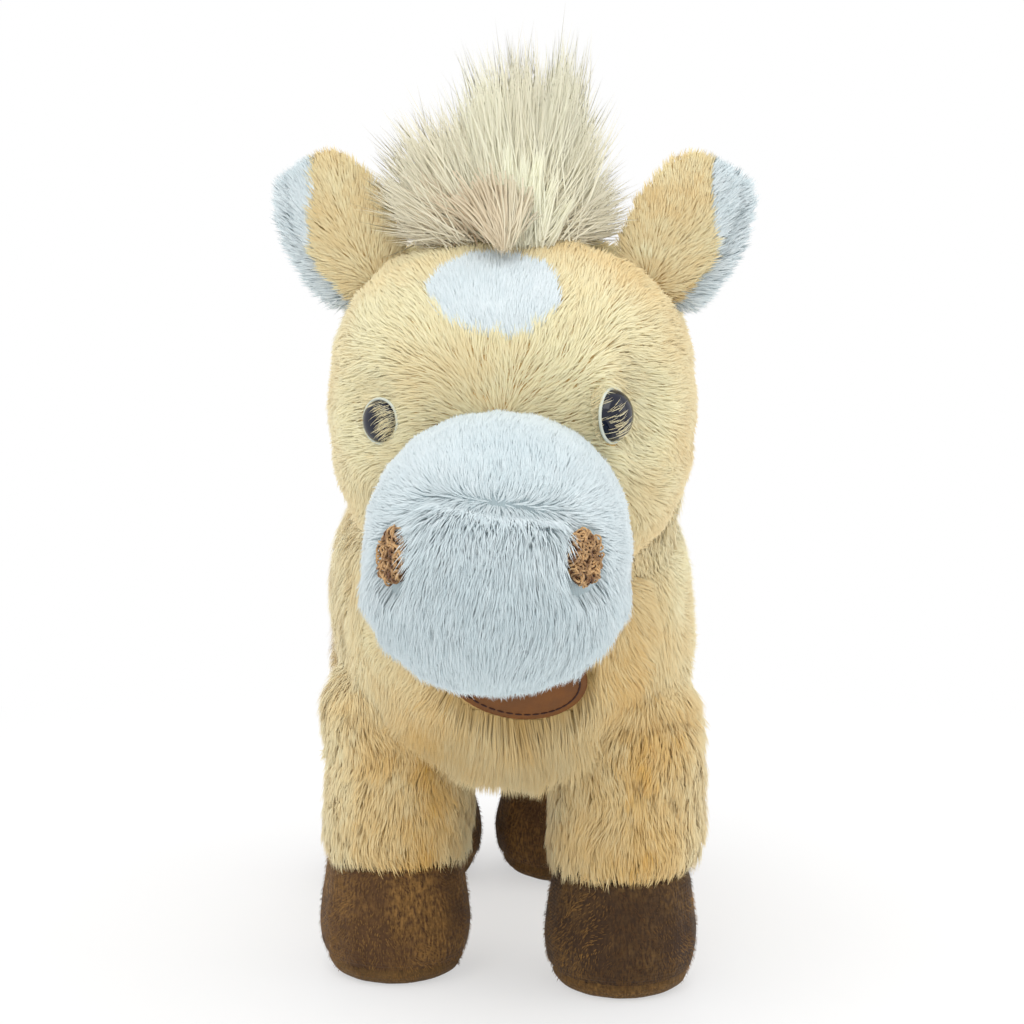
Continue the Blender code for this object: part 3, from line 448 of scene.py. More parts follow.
def joined(pieces, name):
    """One object made of several."""
    bpy.ops.object.select_all(action="DESELECT")
    for piece in pieces:
        piece.select_set(True)
        bpy.context.view_layer.objects.active = piece
    if len(pieces) > 1:
        bpy.ops.object.join()
    piece = bpy.context.view_layer.objects.active
    piece.name = piece.data.name = name
    return piece


def vertex_values(mesh, kind):
    values = np.empty(len(mesh.vertices) * 3, np.float32)
    mesh.vertices.foreach_get(kind, values)
    return values.reshape(-1, 3).astype(float)


def points_of(mesh):
    return vertex_values(mesh, "co")


def normals_of(mesh):
    return vertex_values(mesh, "normal")


def move_points(obj, points):
    obj.data.vertices.foreach_set("co", points.astype(np.float32).ravel())
    obj.data.update()


MERGE = 0.01 * MM
# Voxel of the remesh, passes of smoothing, and how far each kind of skin is drawn in
SKIN_KINDS = {
    "form": (1.7 * MM, 30, 0.4 * MM),
    "trunk": (2.0 * MM, 8, 1.2 * MM),
    "head": (2.0 * MM, 8, -0.4 * MM),
    "muzzle": (1.4 * MM, 6, 0.1 * MM),
    "leg": (1.8 * MM, 6, 3.2 * MM),
    "ear": (0.9 * MM, 5, 0.5 * MM),
    "hoof": (1.3 * MM, 11, 0),
    "nostril": (0.5 * MM, 4, 0),
    "lock": (1.2 * MM, 8, 3.0 * MM),
    "tail": (1.2 * MM, 8, 1.5 * MM),
}


def soft_skin(nodes, name, kind):
    """One smooth stuffed form that fills the space of these nodes, drawn in to leave room for the pile."""
    voxel, passes, sink = SKIN_KINDS[kind]
    copies = []
    for node in nodes:
        copies.append(bpy.data.objects.new(name, frame["nodes"][node].data.copy()))
        bpy.context.scene.collection.objects.link(copies[-1])
    piece = joined(copies, name)
    edit_all(piece, bpy.ops.mesh.remove_doubles, threshold=MERGE)
    apply_modifier(piece, "REMESH", mode="VOXEL", voxel_size=voxel)
    piece = keep_largest(piece)
    apply_modifier(piece, "SMOOTH", factor=0.6, iterations=passes)
    if sink:
        apply_modifier(piece, "DISPLACE", strength=-sink, mid_level=0)
    only(piece)
    bpy.ops.object.shade_smooth()
    return piece


def keep_largest(piece):
    """Removes the closed pockets that the remesh leaves inside a skin."""
    name = piece.name
    only(piece)
    bpy.ops.mesh.separate(type="LOOSE")
    parts = list(bpy.context.selected_objects)
    kept = max(parts, key=lambda part: part.dimensions.length)
    for part in parts:
        if part != kept:
            bpy.data.objects.remove(part)
    kept.name = kept.data.name = name
    return kept


def cut_level(piece, height, keep_above):
    """Cuts the piece at a height and closes the cut."""
    edit_all(
        piece, bpy.ops.mesh.bisect, plane_co=(0, 0, height), plane_no=(0, 0, 1), use_fill=True,
        clear_inner=keep_above, clear_outer=not keep_above,
    )


def tree_of(obj):
    """A search tree of the object's faces."""
    mesh = obj.data
    return BVHTree.FromPolygons([v.co for v in mesh.vertices], [tuple(p.vertices) for p in mesh.polygons])


def distances(points, tree, reach):
    """How far each point is outside the tree's surface, below zero inside it and at most reach."""
    found = np.full(len(points), reach)
    for index, point in enumerate(points):
        spot, normal, _, distance = tree.find_nearest(point, reach)
        if spot is not None:
            found[index] = distance if (Vector(point) - spot).dot(normal) >= 0 else -distance
    return found


RAY = Vector((0.31, 0.17, 0.93)).normalized()


def inside(points, tree):
    """Which points lie inside the tree's closed surface."""
    found = np.zeros(len(points), bool)
    for index, point in enumerate(points):
        spot, normal, _, _ = tree.ray_cast(point, RAY)
        found[index] = spot is not None and normal.dot(RAY) > 0
    return found


def finish_piece(piece, material, body=None, stands_for=()):
    """Gives a piece its material, and says what it rides on and what it stands for."""
    piece.data.materials.clear()
    piece.data.materials.append(material)
    if body:
        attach(piece, body)
    if stands_for:
        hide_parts(*stands_for)


def dress_node(node, material):
    """Gives a CAD node that stays in sight its material."""
    mesh = frame["nodes"][node].data
    mesh.materials.clear()
    mesh.materials.append(material)


def ride_hip(piece):
    """Bakes the place of a leg's cloth into its mesh."""
    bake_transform(piece)


STRAY_TURN = 0.16


class Strands:
    """Where fur grows on a skin, and how each strand lies."""

    def __init__(self, skin, count, seed, mask=None):
        self.rng = np.random.default_rng(seed)
        mesh = skin.data
        mesh.calc_loop_triangles()
        corners = np.empty(len(mesh.loop_triangles) * 3, np.int32)
        mesh.loop_triangles.foreach_get("vertices", corners)
        corners = corners.reshape(-1, 3)
        spots = points_of(mesh)[corners]
        normals = normals_of(mesh)[corners]
        areas = np.linalg.norm(np.cross(spots[:, 1] - spots[:, 0], spots[:, 2] - spots[:, 0]), axis=1) / 2
        if mask is not None:
            areas = areas * mask(spots.mean(1), unit(normals.mean(1)))
        count = max(10, int(count * pile().density))
        picked = self.rng.choice(len(areas), count, p=areas / areas.sum())
        first = np.sqrt(self.rng.random(count))
        second = self.rng.random(count)
        shares = np.stack([1 - first, first * (1 - second), first * second], 1)[:, :, None]
        self.roots = (spots[picked] * shares).sum(1)
        self.normals = unit((normals[picked] * shares).sum(1))
        self.count = count

    def turned(self, flow, swirl, swirl_length, seed):
        """The flow along the skin, turned this way and that by smooth noise."""
        across = np.cross(self.normals, flow)
        turn = waves(self.roots, swirl_length, seed) * swirl
        turn = turn + self.rng.normal(0, STRAY_TURN, self.count)
        return unit(flow * np.cos(turn)[:, None] + across * np.sin(turn)[:, None])


def gathered(strands, tips, spacing, gather):
    """Tips drawn together into locks about this far apart, and each strand's own lock."""
    spread = np.ptp(strands.roots, axis=0)
    faces = spread[0] * spread[1] + spread[1] * spread[2] + spread[0] * spread[2]
    wanted = int(faces * 2 / (spacing * spacing))
    wanted = max(4, min(wanted, strands.count // 3))
    leaders = strands.rng.choice(strands.count, wanted, replace=False)
    tree = KDTree(wanted)
    for index, leader in enumerate(leaders):
        tree.insert(strands.roots[leader], index)
    tree.balance()
    lock = np.array([tree.find(root)[1] for root in strands.roots])
    return tips + (tips[leaders][lock] - tips) * gather[:, None], lock


TONE_SPREAD = 0.006


def strand_mesh(name, paths, sides, widths, tones, normals, fineness=0.5):
    """One mesh of flat tapering strands. paths holds each strand's points from root to tip.

    Each strand is shaded by the normal given for it, so that the coat looks soft.
    """
    count, steps, _ = paths.shape
    ways = np.linspace(0, 1, steps)
    taper = (1 - ways[:-1] ** 2) ** fineness
    half = sides[:, None, :] * (widths[:, None] * taper / 2)[:, :, None]
    points_each = 2 * (steps - 1) + 1
    points = np.empty((count, points_each, 3))
    points[:, 0:-1:2] = paths[:, :-1] - half
    points[:, 1:-1:2] = paths[:, :-1] + half
    points[:, -1] = paths[:, -1]
    quads = [(2 * i, 2 * i + 1, 2 * i + 3, 2 * i + 2) for i in range(steps - 2)]
    tip = 2 * steps - 2
    loop = np.array([corner for quad in quads for corner in quad] + [tip - 2, tip - 1, tip])
    starts = np.array([4 * i for i in range(steps - 1)])
    loops = (loop[None, :] + points_each * np.arange(count)[:, None]).ravel()
    face_starts = (starts[None, :] + len(loop) * np.arange(count)[:, None]).ravel()
    mesh = bpy.data.meshes.new(name)
    mesh.vertices.add(count * points_each)
    mesh.vertices.foreach_set("co", points.astype(np.float32).ravel())
    mesh.loops.add(len(loops))
    mesh.loops.foreach_set("vertex_index", loops.astype(np.int32))
    mesh.polygons.add(len(face_starts))
    mesh.polygons.foreach_set("loop_start", face_starts.astype(np.int32))
    mesh.polygons.foreach_set("use_smooth", np.ones(len(face_starts), bool))
    side = np.where(np.arange(points_each) % 2 == 0, -TONE_SPREAD, TONE_SPREAD)
    side[-1] = 0
    across = np.clip(tones, TONE_SPREAD, 1 - TONE_SPREAD)[:, None] + side[None, :]
    upward = np.repeat(ways, 2)[:-1]
    upward = np.broadcast_to(0.01 + 0.98 * upward, (count, points_each))
    spots = np.stack([across, upward], -1)[:, loop]
    layer = mesh.uv_layers.new(name=FUR_MAP)
    layer.uv.foreach_set("vector", spots.astype(np.float32).ravel())
    mesh.update(calc_edges=True)
    mesh.validate()
    mesh.normals_split_custom_set_from_vertices(np.repeat(normals, points_each, axis=0))
    piece = bpy.data.objects.new(name, mesh)
    bpy.context.scene.collection.objects.link(piece)
    return piece


ROOT_SINK = 0.4 * MM
ROLL = 0.12
LONG_ROLL = 0.2
FRONT_TURN = 0.45
SHADE_SPREAD = 0.06
LEAN_LENGTH = 9 * MM
GATHER_LENGTH = 14 * MM
SWIRL_LENGTH = 22 * MM
LOCK_SPACING = 2.6 * MM


def shading_normals(rng, normals):
    """The form's normals, each turned a little so that single strands still show."""
    return unit(normals + rng.normal(0, SHADE_SPREAD, normals.shape))


def rolled(rng, sides, heading, spread):
    """The strands' flats, each turned a little round its own line."""
    roll = rng.normal(0, spread, len(sides))[:, None]
    return unit(sides * np.cos(roll) + np.cross(heading, sides) * np.sin(roll))


def coat(name, skin, count, length, flow, tone, seed, lean=None, swirl=0.35, swirl_length=SWIRL_LENGTH,
         gather=0.22, spacing=LOCK_SPACING, mask=None, tone_noise=0.05, width=None, turn=0.0):
    """Short fur over a skin. flow and tone are functions of the roots and the skin's normals.

    turn says how much the flat of each strand is turned to the front.
    """
    strands = Strands(skin, count, seed, mask)
    rng = strands.rng
    normals = strands.normals
    lie = strands.turned(laid(flow(strands.roots, normals), normals), swirl, swirl_length, seed + 1)
    base = lean(strands.roots, normals) if callable(lean) else lean or pile().lean
    angle = base + waves(strands.roots, LEAN_LENGTH, seed + 2) * 0.08
    angle = angle + rng.normal(0, 0.06, strands.count)
    reach = length(strands.roots) if callable(length) else length
    long = reach * rng.uniform(0.72, 1.12, strands.count)
    rise = np.cos(angle)[:, None]
    run = np.sin(angle)[:, None]
    tips = strands.roots + long[:, None] * (normals * rise + lie * run)
    draw = np.clip(gather * (0.8 + 0.5 * waves(strands.roots, GATHER_LENGTH, seed + 3)), 0, 0.85)
    tips, lock = gathered(strands, tips, spacing, draw)
    roots = strands.roots - normals * ROOT_SINK
    centre = (roots + tips) / 2 + normals * (long * 0.16 * np.sin(angle))[:, None]
    paths = np.stack([roots, centre, tips], 1)
    heading = unit(tips - roots)
    sides = rolled(rng, unit(np.cross(heading, unit(normals + FRONT * turn))), heading, ROLL)
    lock_tone = rng.normal(0, tone_noise, lock.max() + 1)[lock]
    tones = tone(strands.roots, normals) + lock_tone + rng.normal(0, tone_noise * 0.8, strands.count)
    widths = (width or pile().strand_width) * rng.uniform(0.7, 1.25, strands.count)
    return strand_mesh(name, paths, sides, widths, tones, shading_normals(rng, normals))


LOCK_BEND_SHARE = 0.05
STRAND_BEND_SHARE = 0.035
LONG_RISE = 8 * MM
LONG_AHEAD = 8.5 * MM


def long_pile(name, locks, core, seed, rise=LONG_RISE, ahead=LONG_AHEAD, steps=6):
    """Long soft pile in locks. Each lock is a dict.

    The pile faces away from the point core. rise and ahead turn it further up, and further to the
    front or, behind the core, to the back.
    """
    rng = np.random.default_rng(seed)
    made = []
    ways = np.linspace(0, 1, steps)[None, :, None]
    for lock in locks:
        count = max(4, int(lock["count"] * pile().density))
        root = np.array(lock["root"])
        tip = np.array(lock["tip"])
        reach = np.linalg.norm(tip - root)
        start = root + rng.normal(size=(count, 3)) * np.array(lock["root_spread"])
        end = tip + rng.normal(size=(count, 3)) * np.array(lock["tip_spread"])
        end = start + (end - start) * rng.uniform(lock.get("shortest", 0.7), 1.04, (count, 1))
        bow = np.array(lock.get("bow", (0, 0, 0))) + rng.normal(size=3) * reach * LOCK_BEND_SHARE
        centre = (start + end) / 2 + bow + rng.normal(size=(count, 3)) * reach * STRAND_BEND_SHARE
        path = (1 - ways) ** 2 * start[:, None] + 2 * ways * (1 - ways) * centre[:, None]
        path = path + ways**2 * end[:, None]
        away = centre - lock.get("core", core)
        facing = FRONT * np.where(away[:, 1:2] < 0, 1.0, -1.0)
        out = unit(away + UP * rise + facing * ahead)
        heading = unit(end - start)
        side = rolled(rng, unit(np.cross(heading, unit(out + facing * FRONT_TURN))), heading, LONG_ROLL)
        shading = shading_normals(rng, out)
        widths = pile().long_strand_width * rng.uniform(0.6, 1.2, count)
        tones = lock["tone"] + rng.normal(0, 0.03, count)
        made.append((path, side, widths, tones, shading))
    return strand_mesh(name, *(np.concatenate(rows) for rows in zip(*made)), fineness=0.8)


SKINS = {}
TREES = {}
FORM = "grooming_form"


def keep_skin(piece):
    SKINS[piece.name] = piece
    TREES[piece.name] = tree_of(piece)


NEAREST_REACH = 14 * MM


def nearest_skin(points, names):
    """Which of these skins each point lies nearest to."""
    found = [np.abs(distances(points, TREES[name], NEAREST_REACH)) for name in names]
    return np.argmin(found, axis=0)


ABOVE_SKIN = 1.2 * MM
ABOVE_SEAM = 0.3 * MM


def open_to(*skins, reach=ABOVE_SKIN):
    """A mask that leaves out the stretches of a skin that lie inside these other skins."""

    def mask(points, normals):
        above = points + normals * reach
        shares = np.ones(len(points))
        for name in skins:
            shares *= ~inside(above, TREES[name])
        return shares

    return mask


class PlushPiece(bpy.types.Operator):
    """What all the toy's operators share."""

    bl_options = {"REGISTER", "UNDO"}

    def execute(self, context):
        self.make(context)
        return {"FINISHED"}


TRUNK_NODES = ("body_side_left", "body_side_right", "belly_panel", "body_stuffing")
NECK_NODES = ("neck_cover", "neck_stuffing")
HEAD_NODES = ("head_side_left", "head_side_right", "forehead_spot", "head_stuffing")
MUZZLE_NODES = ("muzzle_front", "muzzle_bridge", "muzzle_stuffing")


class PLUSH_OT_trunk_skin(PlushPiece):
    """Stuffed skin of the trunk and neck"""

    bl_idname = "plush.trunk_skin"
    bl_label = "Trunk and Neck Skins"

    def make(self, context):
        backing = butter_backing("Butter backing")
        for body, nodes, fill in (("torso", TRUNK_NODES, 0.75), ("neck", NECK_NODES, 0.7)):
            skin = soft_skin(nodes, body + "_skin", "trunk")
            finish_piece(skin, backing, body, nodes)
            keep_skin(skin)


# Where a leg's outer side is filled out: leg, height, reach and depth in millimetres
FILLS = (
    ("front_left", 87, 9, 1.6),
    ("front_left", 44, 18, 2.0),
    ("front_right", 57, 17, -2.2),
    ("rear_left", 87, 9, 2.0),
    ("rear_right", 87, 9, 2.0),
)
FILL_LENGTH = 22 * MM


class PLUSH_OT_grooming_form(PlushPiece):
    """One smooth form over trunk, neck and legs, which their fur is rooted on so that it has no step"""

    bl_idname = "plush.grooming_form"
    bl_label = "Grooming Form"

    def make(self, context):
        head_nodes = [node for node in HEAD_NODES if node != "forehead_spot"]
        covers = [leg + "_leg_cover" for leg in LEGS]
        form = soft_skin((*TRUNK_NODES, *NECK_NODES, *head_nodes, *covers), FORM, "form")
        points = points_of(form.data)
        normals = normals_of(form.data)
        for leg, height, reach, out in FILLS:
            hip = joint_named(leg + "_hip")["pos_m"]
            sign = 1 if leg.endswith("left") else -1
            facing = smooth_step(normals[:, 0] * sign, 0.2, 0.8)
            high = bell((points[:, 2] - height * MM) / (reach * MM))
            near = bell((points[:, 1] - hip[1]) / FILL_LENGTH)
            points[:, 0] += sign * out * MM * facing * high * near
        move_points(form, points)
        form.hide_render = True
        TREES[FORM] = tree_of(form)
        SKINS[FORM] = form


SOCKET_DEPTH = 0.9 * MM
SOCKET_REACH = 12 * MM
SOCKET_FADE = (2.5 * MM, 8 * MM)
FAR_OFF = 1.0


def from_axis(points, seat, outward, reach):
    """How far each point is from the line through an eye's middle, and far off if out of reach along it."""
    away = points - seat
    depth = away @ outward
    across = np.linalg.norm(away - depth[:, None] * outward, axis=1)
    return np.where(np.abs(depth) < reach, across, FAR_OFF)


CREASE_HALF = 14 * MM
CREASE_FORWARD = 24 * MM
CREASE_ASIDE = 1.5 * MM
CREASE_RISE = 16.5 * MM
CREASE_SLOPE = -0.12
CREASE_END_SLOPE = -1.1
CREASE_DEPTH = 2.0 * MM
CREASE_WIDTH = 2.4 * MM
CREASE_FADE = 7 * MM
CREASE_AHEAD = (4 * MM, 14 * MM)


def crease_centre():
    """The middle of the crease that runs across the top of the muzzle's front."""
    return middle("muzzle_front") + HEAD_FACE * CREASE_FORWARD + HEAD_SIDE * CREASE_ASIDE + UP * CREASE_RISE


def crease_place(points):
    """How far each point is below the crease's line, and how far beyond its ends."""
    away = points - crease_centre()
    aside = away @ HEAD_SIDE
    beyond = np.maximum(np.abs(aside) - CREASE_HALF, 0)
    line = CREASE_SLOPE * aside + CREASE_END_SLOPE * beyond
    return line - away[:, 2], beyond


class PLUSH_OT_head_skin(PlushPiece):
    """Stuffed skins of the head and muzzle, with the crease over the muzzle"""

    bl_idname = "plush.head_skin"
    bl_label = "Head and Muzzle Skins"

    def make(self, context):
        head = soft_skin(HEAD_NODES, "head_skin", "head")
        points = points_of(head.data)
        for side in SIDES:
            seat, outward, widest, _ = eye_seat(side)
            depth = (points - seat) @ outward
            near = 1 - smooth_step(from_axis(points, seat, outward, SOCKET_REACH) / widest, 1.0, 2.2)
            near = near * (1 - smooth_step(np.abs(depth), *SOCKET_FADE))
            points -= outward * ((depth + SOCKET_DEPTH) * near)[:, None]
        move_points(head, points)
        finish_piece(head, butter_backing("Butter face backing"), "head", HEAD_NODES)
        keep_skin(head)
        muzzle = soft_skin(MUZZLE_NODES, "muzzle_skin", "muzzle")
        points = points_of(muzzle.data)
        below, beyond = crease_place(points)
        ahead = smooth_step((points - middle("muzzle_front")) @ HEAD_FACE, *CREASE_AHEAD)
        drawn = bell(below / CREASE_WIDTH) * (1 - smooth_step(beyond, 0, CREASE_FADE)) * ahead
        points -= normals_of(muzzle.data) * (CREASE_DEPTH * drawn)[:, None]
        move_points(muzzle, points)
        finish_piece(muzzle, white_backing("White backing"), "head", MUZZLE_NODES)
        keep_skin(muzzle)


class PLUSH_OT_leg_skins(PlushPiece):
    """Stuffed skins of the four legs, down to the hems over the hooves"""

    bl_idname = "plush.leg_skins"
    bl_label = "Leg Skins"

    def make(self, context):
        backing = butter_backing("Butter leg backing")
        for leg in LEGS:
            nodes = (leg + "_leg_cover", leg + "_stuffing")
            skin = soft_skin(nodes, leg + "_leg_skin", "leg")
            cut_level(skin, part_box(nodes[0])[0].z, keep_above=True)
            finish_piece(skin, backing, None, nodes)
            ride_hip(skin)
            keep_skin(skin)


class PLUSH_OT_ear_skins(PlushPiece):
    """The ears' two layers, yellow in front and white behind"""

    bl_idname = "plush.ear_skins"
    bl_label = "Ear Skins"

    def make(self, context):
        yellow = butter_backing("Butter ear backing")
        white = white_backing("White ear backing")
        for side in SIDES:
            for layer, material, slot in (("front", yellow, "butter_fur"), ("lining", white, "white_fur")):
                node = f"ear_{layer}_{side}"
                skin = soft_skin((node,), node + "_skin", "ear")
                finish_piece(skin, material, "ear_" + side, (node,))
                keep_skin(skin)


SEAM_HEIGHT = 4.6 * MM
SEAM_DEPTH = 0.7 * MM
SEAM_WIDTH = 0.8 * MM
BULGE_HEIGHT = 13 * MM
BULGE_REACH = 8 * MM
BULGE_OUT = 0.9 * MM
SOLE_MIDDLE = 12 * MM
# Painted shade down the middle of the front left hoof, whose pile is brushed down
HOOF_DARK_SHARE = 0.6
HOOF_DARK_ASIDE = 1.5 * MM
HOOF_DARK_WIDTH = 9 * MM
HOOF_BLOTCH = 15 * MM
HOOF_SPECK = 5 * MM
HOOF_TURN = 18 * MM
FUZZ_BOTTOM = 3 * MM
FUZZ_OVER_HEM = 1 * MM
FUZZ_LEAN = math.radians(60)
FUZZ_SWIRL = 10 * MM
FUZZ_SPACING = 1.4 * MM
FUZZ_WIDTH = 0.2 * MM


class PLUSH_OT_hooves(PlushPiece):
    """Short-pile hooves with the seam of the sole drawn in"""

    bl_idname = "plush.hooves"
    bl_label = "Hooves"

    def make(self, context):
        upper = hoof_finish("Hoof pile")
        # The front left hoof's pile is brushed down, and its shade is painted in as a darker copy of the pile
        flat = hoof_finish("Hoof pile brushed down", 0.55, 0.45)
        fuzz = fur_finish("Hoof fuzz", "hoof", 0.8, sheen=0.03)
        under = hoof_finish("Sole pile", 0.42, 0.75, pale_only=True)
        for leg in LEGS:
            nodes = (leg + "_hoof", leg + "_sole")
            brushed_down_shaded = leg == "front_left"
            boot = soft_skin((*nodes, leg + "_stuffing"), leg + "_hoof_pile", "hoof")
            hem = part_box(nodes[0])[1].z
            cut_level(boot, hem, keep_above=False)
            points = points_of(boot.data)
            middle_line = np.append(middle(nodes[0])[:2], 0)
            outward = points - middle_line
            outward[:, 2] = 0
            far = np.linalg.norm(outward, axis=1) > SOLE_MIDDLE
            rim = bell((points[:, 2] - SEAM_HEIGHT) / SEAM_WIDTH)
            points -= unit(outward) * (SEAM_DEPTH * rim * far)[:, None]
            bulge = bell((points[:, 2] - BULGE_HEIGHT) / BULGE_REACH)
            points += unit(outward) * (BULGE_OUT * bulge * far)[:, None]
            move_points(boot, points)
            finish_piece(boot, flat if brushed_down_shaded else upper, leg + "_leg", nodes)
            boot.data.materials.append(under)
            centres = np.array([face.center.z for face in boot.data.polygons])
            boot.data.polygons.foreach_set("material_index", (centres < SEAM_HEIGHT).astype(np.int32))
            keep_skin(boot)
            boot.data.update()

            def tone(roots, normals):
                """Dark down the middle of the front left hoof, where its pile is brushed the other way and
                its shade is painted in.
                """
                across = (roots[:, 0] - middle_line[0] - HOOF_DARK_ASIDE) / HOOF_DARK_WIDTH
                dark = HOOF_DARK_SHARE * bell(across) if brushed_down_shaded else 0.0
                blotches = waves(roots, HOOF_BLOTCH, 15) * 0.22
                return 0.55 - dark + blotches + waves(roots, HOOF_SPECK, 16) * 0.10

            def flow(roots, normals):
                return DOWN + HEAD_SIDE * waves(roots, HOOF_TURN, 17)[:, None]

            def mask(points, normals):
                return (points[:, 2] > FUZZ_BOTTOM) & (points[:, 2] < hem + FUZZ_OVER_HEM)

            piece = coat(
                leg + "_hoof_fuzz", boot, 6500, pile().hoof_length, flow, tone, 700 + len(leg),
                lean=FUZZ_LEAN, swirl=0.6, swirl_length=FUZZ_SWIRL, gather=0.2, spacing=FUZZ_SPACING,
                mask=mask, width=FUZZ_WIDTH,
            )
            finish_piece(piece, fuzz, leg + "_leg")


def square_to(axis, vector):
    """The vector turned to stand square to an axis."""
    return unit(vector - np.dot(vector, axis) * axis)


def disc_pose(node, backing_point):
    """A flat piece's middle and outward axis, and its points measured from that middle."""
    points = points_of(frame["nodes"][node].data)
    centre = middle(node)
    _, _, axes = np.linalg.svd(points - points.mean(0), full_matrices=False)
    outward = axes[2]
    if np.dot(outward, centre - backing_point) < 0:
        outward = -outward
    return centre, outward, points - centre


def placed(obj, centre, outward, upward):
    """Turns a piece made facing +Z at the origin to face outward at its centre, and applies it."""
    across = np.cross(upward, outward)
    turn = Matrix(np.stack([across, upward, outward], 1).tolist()).to_4x4()
    obj.matrix_world = Matrix.Translation(Vector(centre)) @ turn
    only(obj)
    bpy.ops.object.transform_apply(location=True, rotation=True, scale=True)


RIM_BAND_SHARE = 0.97


def eye_seat(side):
    """The middle of an eye's rim, the way it faces, its radius and the height of its dome."""
    centre = middle("eye_" + side)
    outward = unit(centre - middle("eye_washer_" + side))
    points = points_of(frame["nodes"]["eye_" + side].data) - centre
    depth = points @ outward
    radius = np.linalg.norm(points - depth[:, None] * outward, axis=1)
    widest = radius.max()
    rim = radius > RIM_BAND_SHARE * widest
    return centre + points[rim].mean(0), outward, widest, depth.max() - depth[rim].mean()


DOME_SHARE = 0.78
DOME_LOW_SHARE = 0.8
DOME_UNDER = 0.3 * MM
DOME_SEAT = 0.5 * MM
RIM_SHARE = 0.81
RIM_THICK = 0.4 * MM
RIM_LIFT = 0.1 * MM


class PLUSH_OT_eyes(PlushPiece):
    """Glossy domed eyes with a pale edge"""

    bl_idname = "plush.eyes"
    bl_label = "Eyes"

    def make(self, context):
        dark = plastic_finish("Eye dome", colours().eye, 1.0)
        pale = plastic_finish("Eye edge", colours().eye_rim, 0.6)
        for side in SIDES:
            node = "eye_" + side
            seat, outward, widest, height = eye_seat(side)
            dome = added("uv_sphere", node + "_dome", segments=48, ring_count=24, radius=1)
            dome.scale = (widest * DOME_SHARE, widest * DOME_SHARE, height * DOME_LOW_SHARE)
            bpy.ops.object.transform_apply(location=False, rotation=False, scale=True)
            for vertex in dome.data.vertices:
                vertex.co.z = max(vertex.co.z, -DOME_UNDER)
            placed(dome, seat + outward * DOME_SEAT, outward, UP)
            bpy.ops.object.shade_smooth()
            finish_piece(dome, dark, "head", (node,))
            edge = added(
                "torus", node + "_edge", major_segments=64, minor_segments=12,
                major_radius=widest * RIM_SHARE, minor_radius=RIM_THICK,
            )
            placed(edge, seat + outward * (DOME_SEAT + RIM_LIFT), outward, UP)
            bpy.ops.object.shade_smooth()
            finish_piece(edge, pale, "head")


# Side, way inward, number of strands, where round the eye they start, their slope and their length
LASHES = (("left", -1.0, 95, -0.35, 0.9, 0.6), ("right", 1.0, 190, 0.1, -0.9, 0.7))
LASH_FAN = 1.25
LASH_LENGTH = 9.0 * MM
LASH_LIFT = 0.6 * MM
LASH_SINK = 1.6 * MM
# In millimetres
LASH_WIDTHS = (0.11, 0.2)


class PLUSH_OT_lashes(PlushPiece):
    """Thin strands of face fur that fall over the inner side of each eye"""

    bl_idname = "plush.lashes"
    bl_label = "Strands over the Eyes"

    def make(self, context):
        fur = fur_finish("Fur over the eyes", "butter", 0.95, 0.9)
        rng = np.random.default_rng(70)
        ways = np.linspace(0, 1, 6)[None, :, None]
        for side, inward, count, place, slope, reach in LASHES:
            centre, outward, widest, height = eye_seat(side)
            inner = square_to(outward, HEAD_SIDE * inward)
            upward = square_to(outward, UP)
            turn = rng.normal(place, 0.65, count).clip(-LASH_FAN, LASH_FAN)[:, None]
            ring = (inner * np.cos(turn) + upward * np.sin(turn)) * widest
            roots = ring * rng.uniform(0.85, 1.05, (count, 1))
            heading = unit(-inner + upward * (slope + rng.normal(0, 0.3, (count, 1))))
            lengths = LASH_LENGTH * (0.22 + reach * rng.beta(1.2, 2.0, (count, 1)))
            flat = roots[:, None] + heading[:, None] * lengths[:, None] * ways
            share = np.linalg.norm(flat, axis=-1, keepdims=True) / (widest * DOME_SHARE)
            dome = height * DOME_LOW_SHARE * np.sqrt(np.clip(1 - share**2, 0, 1))
            rise = DOME_SEAT + dome + LASH_LIFT * ways
            paths = centre + flat + outward * (rise - LASH_SINK * (1 - ways) ** 2)
            normals = np.broadcast_to(outward, roots.shape)
            sides = unit(np.cross(heading, normals))
            tones = rng.uniform(0.7, 0.98, count)
            widths = rng.uniform(*LASH_WIDTHS, count) * MM
            piece = strand_mesh(f"eye_{side}_lashes", paths, sides, widths, tones, normals)
            finish_piece(piece, fur, "head")


LOOP_COUNT = 110
LOOP_FIELD_SHARE = 0.92
LOOP_SINK = 0.1 * MM


